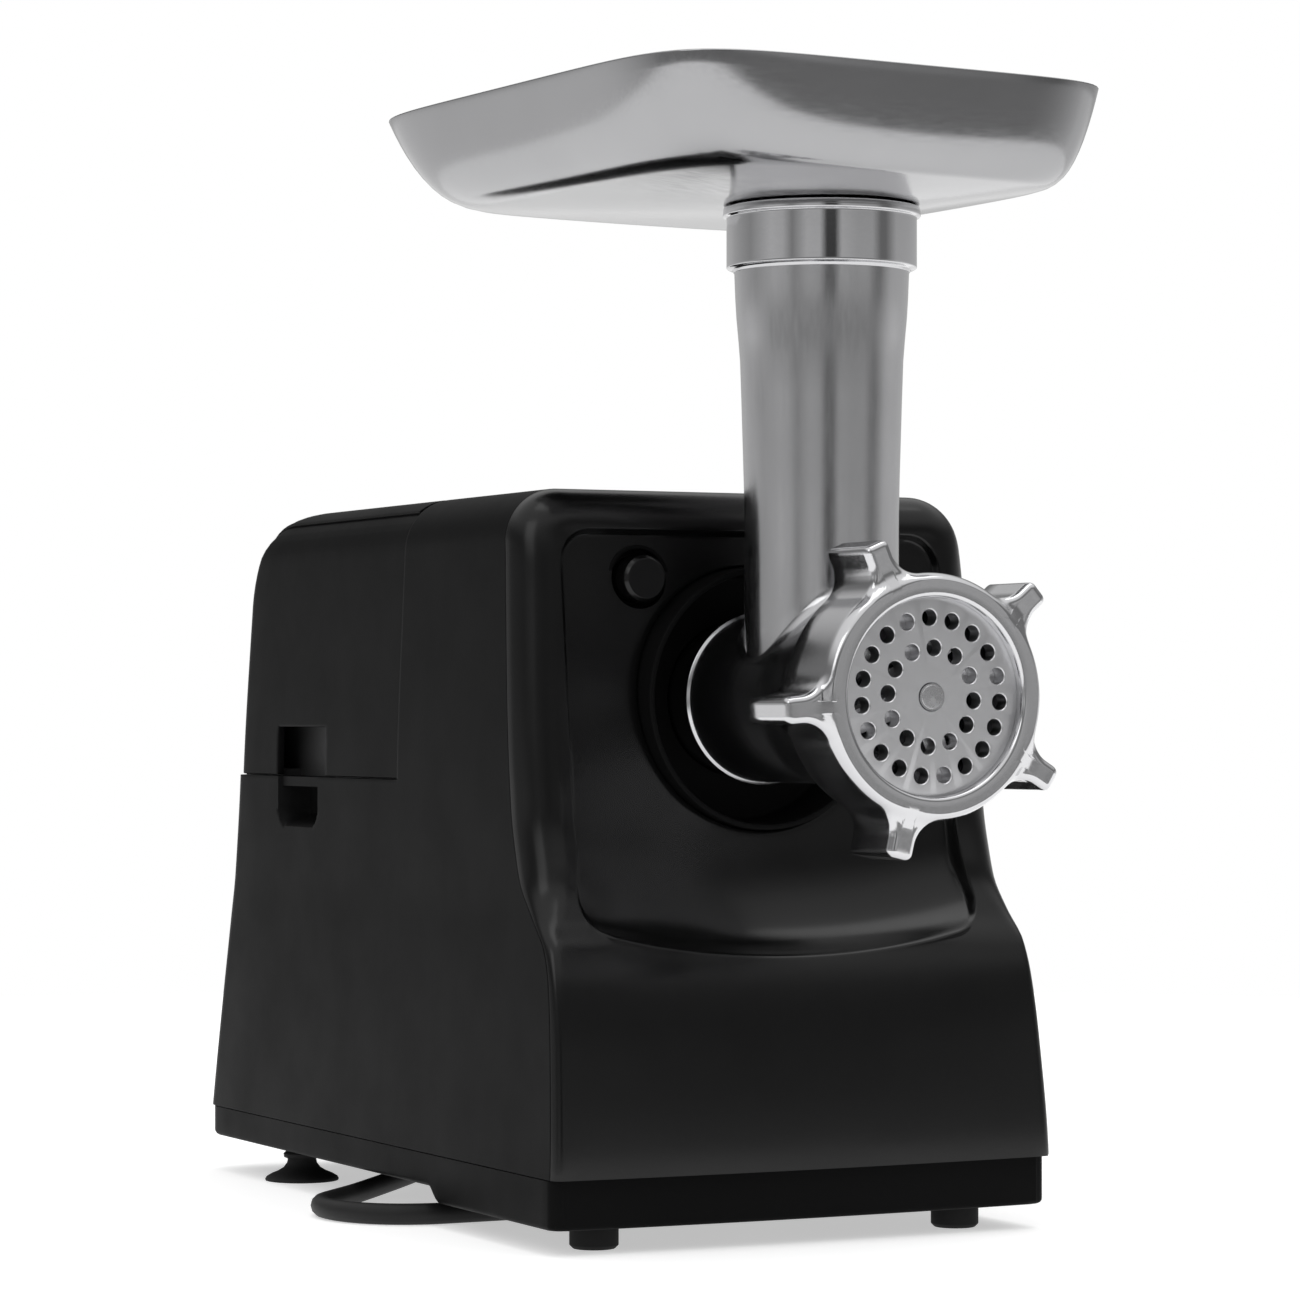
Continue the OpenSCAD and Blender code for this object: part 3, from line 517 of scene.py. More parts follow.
def make_floor():
    """A white table, lit so that only a faint shadow is left under the part."""
    data = bpy.data.meshes.new("floor")
    steps, far = 96, 1.1
    data.from_pydata([(far * c, far * s, 0) for c, s in circle(steps)], [], [tuple(range(steps))])
    floor = shown("floor", data)
    m = new_material("floor", (0.8, 0.8, 0.8, 1), 0, 0.8, 0.0)
    m.surface({"Emission Color": (1, 1, 1, 1), "Emission Strength": 0.5})
    data.materials.append(MATERIALS["floor"])


# ---- the cord

ROUTE = [(-40, 204.6), (-46, 198.4), (-60, 183.7), (-80, 162.8), (-92, 150.3), (-99, 143),
         (-104, 136), (-106.6, 127), (-106, 117.5), (-101.5, 107.5), (-94, 100.2), (-84, 96.2),
         (-74, 95.6), (-58, 95.6), (-40, 95.6), (-22, 95.6), (-12, 97.1), (-2, 102.2), (4.5, 110.2),
         (7.5, 119), (8, 130), (8, 150), (8, 175), (8, 200), (8, 225), (8, 250), (8, 275), (8, 300),
         (8, 322)]
COIL_X, COIL_D = 52.6, 344
COIL_START_R, COIL_STEP = 44.6, 6.8
TAIL = [(62, 376.7, 9.3), (72, 376.7, 8.4), (82, 376.7, 6.6), (90, 376.7, 6.4), (98, 376.7, 7.6)]


def coil_point(turned):
    """Where the coil's cord is after so many turns: two and a quarter on the floor, the last on top."""
    floor_r = COIL_START_R - COIL_STEP * turned
    rise = smooth_step(2.08, 2.3, turned)
    outward = smooth_step(2.12, 2.42, turned)
    top_r = COIL_START_R - COIL_STEP / 2 - COIL_STEP * (turned - 2)
    r = mix(floor_r, top_r, outward)
    over = math.sin(math.pi * min(max((turned - 2.2) / 0.22, 0), 1))
    z = CORD_R + 5.9 * rise + 0.9 * over
    a = math.pi - 2 * math.pi * turned
    return (COIL_X + r * math.cos(a), COIL_D + r * math.sin(a), z)


def make_cord():
    points = [(x, d, CORD_R + max(0, 1.8 - 0.6 * i)) for i, (x, d) in enumerate(ROUTE)]
    turns, each = 3.25, 24
    points += [coil_point(k / each) for k in range(int(turns * each) + 1)]
    points += TAIL
    data = bpy.data.curves.new("mains_cord", "CURVE")
    data.dimensions = "3D"
    data.bevel_depth = CORD_R * MM
    data.bevel_resolution = 4
    data.resolution_u = 4
    data.use_fill_caps = True
    line = data.splines.new("BEZIER")
    line.bezier_points.add(len(points) - 1)
    spots = [place(*point) for point in points]
    for k, point in enumerate(line.bezier_points):
        here, back, on = spots[k], spots[max(k - 1, 0)], spots[min(k + 1, len(spots) - 1)]
        along = (on - back).normalized()
        point.co = here
        point.handle_left = here - along * (here - back).length / 3
        point.handle_right = here + along * (on - here).length / 3
    data.materials.append(MATERIALS["cord_black"])
    cord = shown("mains_cord_sheath", data)
    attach(cord, "root")
    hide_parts("mains_cord", "cord_coil")
    return cord


def make_cord_end():
    """The moulded plug, its pins and the tie round the coil."""
    plug = Shape("mains_plug", "cord_black")
    x, d, z = 96, 376.7, 7.6
    rows = []
    outline = [(0, 3.9, 3.9), (1, 4.5, 4.5), (4, 4.6, 4.6), (4.6, 4.0, 4.0), (6.6, 4.0, 4.0),
               (7.2, 4.9, 4.9), (9.2, 5.0, 5.0), (9.8, 4.3, 4.3), (11.8, 4.3, 4.3), (12.4, 5.3, 5.3),
               (15, 5.5, 5.5), (19, 7, 6.2), (22, 10.2, 7.0), (25, 12.2, 7.4), (28, 12.9, 7.55),
               (37, 13, 7.6), (40, 12.8, 7.5), (40.8, 12.2, 7.0), (41, 11, 6.4)]
    for along, wide, tall in outline:
        power = mix(2, 3.4, smooth_step(15, 26, along))
        row = []
        for c, s in circle(48):
            n = (abs(c) ** power + abs(s) ** power) ** (-1 / power)
            row.append((x + along, d + wide * n * c, z + tall * n * s))
        rows.append(row)
    plug.tube(rows)
    for k in range(3):
        for side in (-1, 1):
            low = (x + 27 + 3.4 * k, d + side * 12.6 - 0.7, z - 4)
            high = (x + 28.4 + 3.4 * k, d + side * 12.6 + 0.7, z + 4)
            plug.block(low, high, round_r=0.5)
    plug = plug.piece("root", "plug_body")
    pins = Shape("plug_contact_pins", "zinc")
    for side in (-1, 1):
        pin = [(0, x + 40), (2.4, x + 40, 0.2), (2.4, x + 60, 1.3), (0, x + 60)]
        flange = [(2.1, x + 40.6), (2.75, x + 40.6, 0.2), (2.75, x + 41.4, 0.2), (2.1, x + 41.4)]
        for line in (pin, flange):
            pins.lathe(rounded(line), "x", (d + side * 9.5, z), 32)
    pins = pins.piece("root", "plug_pins")
    tie = Shape("coil_tie_band", "rubber")
    c, s = math.cos(math.radians(250)), math.sin(math.radians(250))
    outline = rounded([(25.2, 0, 2.2), (48.8, 0, 2.2), (48.8, 7.5, 3), (44.5, 13.4, 3),
                       (28.5, 13.4, 3), (25.2, 7.5, 3)], 6)
    inner = rounded([(25.9, 0.5, 2.2), (48.1, 0.5, 2.2), (48.1, 7.2, 3), (44, 12.7, 3),
                     (29, 12.7, 3), (25.9, 7.2, 3)], 6)
    rows = []
    for line, side in ((outline, -2.2), (outline, 2.2), (inner, 2.2), (inner, -2.2)):
        rows.append([(COIL_X + r * c - side * s, COIL_D + r * s + side * c, h) for r, h in line])
    tie.grid(rows, around=True, close=True)
    tie = piece(soften(tie.object(), 0.15), "cord_black", "root", "coil_tie")
    return [plug, pins, tie]


def make_strain_relief():
    """The ribbed sleeve that the cord leaves the base through."""
    sleeve = Shape("cord_sleeve", "rubber")
    x, d, z, heading = -20, 225, 5.2, math.radians(226.2)
    on_x, on_d = math.cos(heading), math.sin(heading)
    outline = [(0, 0), (4.4, 0), (4.4, 7.6), (5.4, 8), (5.4, 10), (5.0, 10.4)]
    at, r = 11.0, 5.0
    while at < 27:
        outline += [(r - 0.7, at), (r - 0.7, at + 1.0), (r - 0.05, at + 1.4), (r - 0.1, at + 2.8)]
        at += 3.4
        r -= 0.26
    outline += [(3.5, 28.4), (0, 28.4)]
    rows = [[(x + along * on_x - r * c * on_d, d + along * on_d + r * c * on_x, max(z + r * s, 0.05))
             for c, s in circle(40)] for r, along in outline]
    sleeve.grid(rows, around=True)
    return sleeve.piece("root", "cord_strain_relief")


# ---- the body's outer shape

HALF_WIDTH = curve_through([(0, 86.7), (22, 86.1), (60, 84.5), (90, 83), (105, 82.3), (140, 82.2),
                            (200, 80), (213.3, 79.4)])
CREASE = curve_through([(0, 0.4), (23, 0.4), (60, 3.6), (80, 7), (90, 10.8), (100, 21), (110, 29.8),
                        (120, 33.5), (130, 36.1), (140, 37.5), (200, 45.3), (210, 46.4), (218, 47.5),
                        (240, 48)])
REAR = curve_through([(0, 295), (22, 292), (95, 281), (140.5, 274.6), (195.8, 271.3)])
PANEL = curve_through([(80, -2), (88, 8), (91.5, 14), (97, 19.5), (105.5, 24), (115, 26.6), (125, 28),
                       (170, 33), (215, 38), (232, 40)])


def half_width(z, inset=0):
    if z <= ROUND_Z:
        return HALF_WIDTH(z) - inset
    return ROUND_X + math.sqrt(max((ROUND_R - inset) ** 2 - (z - ROUND_Z) ** 2, 0))


def rear(z, inset=0):
    if z <= REAR_Z:
        return REAR(z) - inset
    return REAR_D + math.sqrt(max((REAR_R - inset) ** 2 - (z - REAR_Z) ** 2, 0))


def plan_half(z, inset, columns):
    """The left half of the body's outline at a height: the columns along its side, then its rear corner."""
    wide, back = half_width(z, inset), rear(z, inset)
    corner = CORNER_R - inset
    row = [(-wide, d, z) for d in columns(z, back - corner)]
    for c, s in quarter(8)[1:]:
        row.append((-wide + corner - corner * c, back - corner + corner * s, z))
    for t in (0.12, 0.35, 0.7):
        row.append(((-wide + corner) * (1 - t), back, z))
    return row


def mirrored(row):
    return row + [(0.0, row[-1][1], row[-1][2])] + [(-x, d, z) for x, d, z in reversed(row)]


SCOOP_D, SCOOP_HALF, SCOOP_FOOT, SCOOP_CORNER, SCOOP_DEPTH, SCOOP_SLOPE = 211, 18, 123, 7, 10, 4.2
NOTCH_LOW_D, NOTCH_HIGH_D, NOTCH_TOP = 189, 232, 157
FRONT_SHARES = (0, 0.006, 0.02, 0.06, 0.14, 0.26, 0.42, 0.6, 0.8, 0.985, 1)
SCOOP_COLUMNS = [191, 192] + [193 + k for k in range(37)] + [231, 232.5, 235]


def front_columns(z):
    return [mix(CREASE(z) + 0.25, LID_FRONT - 0.4, share) for share in FRONT_SHARES]


def scoop_depth(d, z):
    """How deep the finger scoop is pressed into the housing's side."""
    gap = joined(abs(d - SCOOP_D) - SCOOP_HALF, SCOOP_FOOT - z, SCOOP_CORNER)
    return SCOOP_DEPTH * smooth_step(0, SCOOP_SLOPE, -gap)


def make_housing():
    shell = Shape("main_housing_shell", "black_housing")
    scoop_rows = [117, 119, 120.5, 122] + [123 + k for k in range(17)] + [140.1]
    heights = [SEAM_Z + 0.05, 23.4, 24.4, 27, 33, 40, 50, 60, 68, 76, 83, 88, 92, 96, 100, 104, 108, 112]
    middle = [130, 140, 150, 160, 170, 180, 187] + SCOOP_COLUMNS + [243, 250]

    def columns(at, turn):
        return front_columns(at) + middle + [turn]

    rows = []
    for z in heights + scoop_rows:
        row = [(x + scoop_depth(d, zz), d, zz) for x, d, zz in plan_half(z, 0, columns)]
        rows.append(mirrored(row))
    shell.grid(rows)
    upper = [140.1, 141, 145, 155, 170, 185, 200, ROUND_Z]
    upper += [ROUND_Z + ROUND_R * math.sin(math.radians(a)) for a in range(6, 91, 6)]
    side = [[(-half_width(z), d, z) for d in front_columns(z)] for z in upper]
    over = [[(mix(-ROUND_X, ROUND_X, t), d, TOP_Z) for d in front_columns(TOP_Z)]
            for t in (0.02, 0.1, 0.5, 0.9, 0.98)]
    other = [[(-x, d, z) for x, d, z in row] for row in reversed(side)]
    shell.grid(side + over + other)
    housing = settle(soften(thicken(shell.object(), WALL), 0.35, 2, 60))
    # the bulkhead behind the lid's front edge, and the ledge that the lid rests on
    inner = Shape("housing_bulkhead", "black_housing")
    right = [(half_width(z, 0.5), z) for z in reversed(upper)] + [(half_width(137, 0.5), 137)]
    outline = [(-x, z) for x, z in reversed(right)] + right
    rows = [[(x, d, z) for x, z in outline] for d in (LID_FRONT - 3, LID_FRONT - 0.4)]
    inner.tube(rows)

    def ledge_columns(at, turn):
        return [LID_FRONT - 1, 150, 188, 192, 230, 234, turn]

    corners = ((136.8, 1.2), (140, 1.2), (140, 8), (136.8, 8))
    ledge = [mirrored(plan_half(z, inset, ledge_columns)) for z, inset in corners]
    inner.grid(ledge, close=True)
    cutter = Shape("housing_cutter", "black_housing")
    for k in range(9):
        z = 60 + 7 * k
        cutter.block((-30, 262, z), (30, 300, z + 3), axis=1, round_r=1.4, steps=4)
    for _, z, r in BUTTONS:
        cutter.lathe([(0, 70), (r + 0.8, 70), (r + 0.8, 90), (0, 90)], "x", (CONTROL_D, z), 48)
    cut(housing, cutter)
    piece(housing, "black_housing", "root", "main_housing")
    inner.piece("root")


def opening_gap(x, z):
    """How far a point of the front lies outside the recess's edge; negative inside it."""
    side = abs(x) - RECESS_HALF - 4 * (1 - smooth_step(92, 122, z))
    lip = LIP_Z + x * x / LIP_BOW - z
    return joined(joined(side, z - RECESS_TOP, 10), lip, 12)


def outline_gap(x, z):
    """How far a point of the front lies inside the body's outline, not counting its lower edge."""
    if z > ROUND_Z and abs(x) > ROUND_X:
        return ROUND_R - math.hypot(abs(x) - ROUND_X, z - ROUND_Z)
    return min(half_width(min(z, ROUND_Z)) - abs(x), TOP_Z - z)


def front_bow(x, z):
    return 3 * (1 - (x / 86) ** 2) * (1 - smooth_step(30, 110, z))


def face_depth(x, z):
    """Depth of the front moulding: its frame, rolled over to the sides and top, and the recessed panel."""
    edge = 3 + 9 * smooth_step(86, 116, z)
    gap = max(outline_gap(x, z), 0)
    roll = edge - math.sqrt(edge * edge - (edge - gap) ** 2) if gap < edge else 0
    rim = CREASE(z) - edge + roll - front_bow(x, z)
    panel = PANEL(z - x * x / LIP_BOW * (1 - smooth_step(100, 140, z)))
    return mix(panel, rim, smooth_step(-1.3, 1.1, opening_gap(x, z)))


def make_fascia():
    low = SEAM_Z + 0.05
    centre = (0.0, AXIS_Z)
    count = 400
    corner = math.atan2(low - AXIS_Z, half_width(low))
    angles = sorted([2 * math.pi * k / count - math.pi for k in range(count)] + [corner, -math.pi - corner])
    shares = (0, 0.012, 0.03, 0.055, 0.085, 0.12, 0.17, 0.23, 0.3,
              0.38, 0.47, 0.56, 0.65, 0.74, 0.82, 0.89, 0.95, 1)
    edges = (1.8, 1.3, 1.0, 0.7, 0.4, 0.1, -0.2, -0.5, -0.8, -1.1, -1.5, -2.1)
    inward = (0.03, 0.07, 0.12, 0.18, 0.25, 0.33, 0.42, 0.52, 0.63, 0.75, 0.87, 0.96, 1)
    columns = []
    for a in angles:
        out = reach_to(lambda x, z: outline_gap(x, z) > 0 and z > low, centre, a)
        inside = reach_to(lambda x, z: opening_gap(x, z) < 0, centre, a)
        reaches = [mix(out, inside + 2.4, share) for share in shares]
        reaches += [inside + e for e in edges]
        reaches += [mix(inside - 2.1, 42, t) for t in inward]
        column = [(r * math.cos(a), AXIS_Z + r * math.sin(a)) for r in reaches]
        points = [(x, face_depth(x, z), z) for x, z in column]
        for r, sink in ((41.5, 0.15), (41.25, 0.5), (41.2, 1.2)):
            x, z = r * math.cos(a), AXIS_Z + r * math.sin(a)
            points.append((x, face_depth(x, z) + sink, z))
        columns.append(points)
    shell = Shape("front_fascia_shell", "black_gloss")
    rows = [[column[k] for column in columns] for k in range(len(columns[0]))]
    shell.grid(rows, around=True)
    fascia = settle(thicken(shell.object(), WALL))
    hole = Shape("button_hole", "black_gloss")
    hole.lathe([(0, 20), (9.3, 20), (9.3, 60), (0, 60)], "y", (BUTTON_X, BUTTON_Z), 64)
    cut(fascia, hole)
    piece(fascia, "black_gloss", "root", "front_fascia")
    well = Shape("release_button_well", "black_base")
    lean = [(9.3, 36.9), (9.3, 40.6), (7.5, 40.8), (7.5, 42), (10.5, 42), (10.5, 36.9)]
    well.lathe(rounded([(*p, 0.2) for p in lean], 2), "y", (BUTTON_X, BUTTON_Z), 64)
    well.piece("root", slot="black_gloss")


# ---- the lid


def lid_start(z):
    over = max(z - PIVOT_Z, 0)
    return PIVOT_D - math.sqrt(max(2.6**2 - over**2, 0))


def lid_heights(top):
    levels = [REAR_Z + (top - REAR_Z) * math.sin(math.radians(a)) for a in range(0, 91, 6)]
    levels += [ROUND_Z + (top - ROUND_Z) * math.sin(math.radians(a)) for a in range(9, 82, 9)]
    levels = sorted(levels)
    kept = [levels[0]]
    for level in levels[1:]:
        if level - kept[-1] > 0.25 or level == levels[-1]:
            kept.append(level)
    return kept


def make_lid():
    shell = Shape("storage_lid_shell", "black_housing")
    top = TOP_Z - LID_INSET
    heights = [LID_LOW, 141.2, 143, 147, 152, 157, 158, 163, 172, 184] + lid_heights(top)
    fixed = [126.4, 129, 135, 145, 157, 170, 180, 187, 189, 190,
             197, 205, 211, 217, 225, 231, 232, 234, 242, 250]

    def columns(z, turn):
        squeeze = (turn - LID_FRONT) / (rear(NOTCH_TOP, LID_INSET) - CORNER_R + LID_INSET - LID_FRONT)
        squeeze = min(squeeze, 1)
        start = lid_start(z)
        return [start] + [start + (d - LID_FRONT) * squeeze for d in fixed] + [turn]

    rows = [mirrored(plan_half(z, LID_INSET, columns)) for z in heights]
    # left open: the finger notch in each side
    shell.grid(rows, skip=lambda x, d, z: abs(x) > 60 and z < NOTCH_TOP and NOTCH_LOW_D < d < NOTCH_HIGH_D)
    shell.cap(rows[-1])
    lid = settle(soften(thicken(shell.object(), WALL), 0.4, 2, 60))
    barrel = Shape("lid_hinge_barrels", "black_housing")
    for side in (-1, 1):
        outline = [(1.3, side * 50), (2.5, side * 50, 0.3), (2.5, side * 58.2, 0.3), (1.3, side * 58.2)]
        barrel.lathe(rounded(outline), "x", (PIVOT_D, PIVOT_Z), 32)
    piece(lid, "black_housing", "lid", "storage_lid")
    barrel.piece("lid")


def body_height(x, d, inset=0):
    """Height of the body's outer surface over a point of the lid."""
    corner = CORNER_R - inset

    def inside(z):
        across, along = abs(x) - half_width(z, inset) + corner, d - rear(z, inset) + corner
        if across > 0 and along > 0:
            return math.hypot(across, along) < corner
        return across < corner and along < corner

    return last_inside(inside, 180.0, TOP_Z - inset)


def make_top_panel():
    half, back = 73, 266
    shares = [0, 0.3, 0.6, 0.75, 0.84, 0.88, 0.91, 0.94, 0.965, 0.985, 1]
    xs = [-half * s for s in reversed(shares)] + [half * s for s in shares[1:]]
    ds = [PIVOT_D, PIVOT_D + 0.6, 135, 160, 190, 215, 230, 236, 240, 244, 248, 252, 255, 258, 260, 262,
          263.5, 265, back]
    shell = Shape("lid_top_skin", "black_housing")
    rows = []
    for d in ds:
        row = []
        for x in xs:
            # drawn in towards its rear corners
            ease = smooth_step(back - 10, back, d)
            x_in = x * (1 - 0.035 * ease * ease)
            row.append((x_in, d, body_height(x_in, d)))
        rows.append(row)
    shell.grid(rows)
    panel = soften(thicken(shell.object(), 1.1), 0.3, 2, 50)
    piece(panel, "black_housing", "lid", "lid_top_panel")


# ---- the base and feet


def base_low(d):
    """Height of the base's underside: it steps up behind the front."""
    return mix(7.7, 12.5, smooth_step(85, 93, d))


def make_base():
    wide, front, back, front_r, back_r = 85.6, 0.4, 291.4, 3.5, 12.5
    bowed = (0.02, 0.15, 0.3, 0.45, 0.6, 0.72, 0.83, 0.91, 0.955)
    line = [(-wide * s, front - 3 * (1 - s * s)) for s in bowed]
    for c, s in quarter(5):
        line.append((-wide + front_r - front_r * s, front + front_r - front_r * c))
    along = (8, 20, 40, 60, 78, 84, 85.5, 87, 88.5, 90, 91.5, 93, 95, 110, 140, 180, 220, 250, 270)
    line += [(-wide, d) for d in along]
    for c, s in quarter(8):
        line.append((-wide + back_r - back_r * c, back - back_r + back_r * s))
    line += [(-wide * s, back) for s in (0.7, 0.5, 0.25, 0.02)]
    rows = []
    drop_r = 1.6
    for z in (22.65, 22.2, 18):
        rows.append([(x, d, z) for x, d in line])
    for c, s in quarter(4):
        inset, lift = drop_r * (1 - c), drop_r * (1 - s)
        row = []
        for x, d in line:
            push = inset if d < 4 else (-inset if d > 279 else 0)
            row.append((x * (1 - inset / wide), d + push, base_low(d) + lift))
        rows.append(row)
    shell = Shape("base_tray_shell", "black_base")
    both = [row + [(-x, d, z) for x, d, z in reversed(row)] for row in rows]
    shell.grid(both, around=True)
    last = rows[-1]
    shell.grid([[p, (-p[0], p[1], p[2])] for p in last])
    base = settle(thicken(shell.object(), WALL))
    cutter = Shape("base_vent_cutter", "black_base")
    for k in range(9):
        d = 170 + 6 * k
        cutter.block((30, d, 5), (60, d + 3, 20), round_r=1.4, steps=4)
    cut(base, cutter)
    piece(base, "black_base", "root", "base_tray")


def make_feet():
    front = Shape("front_rubber_feet", "rubber")
    for x in (-63, 63):
        outline = [(0, 0.6), (2.6, 0.6), (3.0, 0), (6.4, 0), (7.5, 1.1), (7.5, 7.6), (0, 7.6)]
        outline[1:-1] = rounded([(*p, 0.35) for p in outline[1:-1]], 3)
        front.lathe(outline, "z", (x, 18.5), 48)
    front.piece("root", "front_feet")
    cups = Shape("suction_cup_feet", "rubber")
    for x in (-70, 70):
        outline = [(0, 2.6), (4, 2.2), (8, 1.1), (11.6, 0.05), (12.6, 0.0), (12.75, 0.5), (12.3, 1.3),
                   (10.6, 2.3), (8.4, 3.2), (6.4, 4.4), (5.2, 6.0), (4.9, 7.4), (6.2, 8.0), (6.4, 9.2),
                   (5.6, 10.0), (4.7, 10.3), (4.5, 13), (0, 13)]
        cups.lathe(outline, "z", (x, 237.5), 56)
    cups.piece("root", "suction_feet", sharp=50)


# ---- the neck, the release button and the controls


def make_neck_socket():
    socket = Shape("neck_socket_liner", "black_base")
    outline = [(24.1, 49), (24.1, 46.2, 0.6), (38.2, 46.0, 1.5), (39, 26.2, 0.8), (39.2, 25, 0.6),
               (40.9, 25, 0.6), (41, 49)]
    socket.lathe(rounded(outline, 4), steps=128)
    socket.piece("root", "neck_socket")


def make_release_button():
    cap = Shape("release_button_cap", "black_gloss")
    outline = [(0, 31.3), (4.4, 31.1), (6.2, 31.0, 0.4), (7.2, 32.2, 0.5), (7.2, 41.4, 0.2), (9, 41.4),
               (9, 42.85), (0, 42.85)]
    cap.lathe(rounded(outline, 4), "y", (BUTTON_X, BUTTON_Z), 64)
    cap.piece("release", "release_button")


def make_controls():
    bezel = Shape("control_bezel_plate", "black_gloss")
    outline = rounded([(78.4, 158.4, 6), (105.6, 158.4, 6), (105.6, 211.6, 6), (78.4, 211.6, 6)], 6)
    middle_d, middle_z = 92, 185

    def row(x, shrink):
        wide, tall = 1 - shrink / 14, 1 - shrink / 27
        return [(x, middle_d + (d - middle_d) * wide, middle_z + (z - middle_z) * tall) for d, z in outline]

    profile = ((80.6, 0), (82.6, 0), (83.0, 0.25), (83.2, 0.8), (83.2, 1.8), (82.9, 2.3), (82.9, 13.9))
    rows = [row(x, shrink) for x, shrink in profile]
    bezel.tube(rows)
    holes = Shape("button_holes", "black_gloss")
    for _, z, r in BUTTONS:
        holes.lathe([(0, 70), (r + 0.4, 70), (r + 0.4, 90), (0, 90)], "x", (CONTROL_D, z), 48)
    bezel = soften(cut(bezel.object(), holes), 0.15, 2, 50)
    piece(bezel, "black_gloss", "root", "control_bezel")
    for body, z, r in BUTTONS:
        cap = Shape(f"{body}_button_cap", "button_grey")
        outline = [(0, 85.2), (r - 2.6, 85.5), (r - 1.4, 85.95, 0.3), (r - 0.5, 85.9, 0.3), (r, 85.2, 0.3),
                   (r, 79.15), (0, 79.15)]
        cap.lathe(rounded(outline, 4), "x", (CONTROL_D, z), 64)
        cap.piece(body, f"{body}_button")


# Each push spring: what it serves, its axis, fixed end, length, radius, wire radius and travel
SPRINGS = [(name, 0, (66, CONTROL_D, z), 12.9, 3, 0.35, 2.5) for name, z, _ in BUTTONS]
SPRINGS += [("release", 1, (BUTTON_X, 60, BUTTON_Z), -17, 4.2, 0.45, 4)]


def make_springs():
    """The push springs, each a coil of wire along its axis from its fixed end."""
    turns, each = 6, 24
    for name, axis, fixed, length, radius, wire, travel in SPRINGS:
        sign = math.copysign(1, length)
        u, v = [fixed[n] for n in range(3) if n != axis]
        rows = []
        for i in range(turns * each + 1):
            a = 2 * math.pi * i / each
            along = wire + (abs(length) - 2 * wire) * i / (turns * each)
            row = []
            for c, s in circle(8):
                r = radius + wire * c
                at = fixed[axis] + sign * (along + wire * s)
                row.append(point_on(axis, at, u + r * math.cos(a), v + r * math.sin(a)))
            rows.append(row)
        coil = Shape(f"{name}_push_spring", "steel")
        coil.tube(rows)
        spring = coil.piece("root", f"{name}_spring")
        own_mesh(spring)


# ---- the grinding head


def flare_radius(d):
    return mix(31, 26, smooth_step(-52, -14, d) ** 0.9)


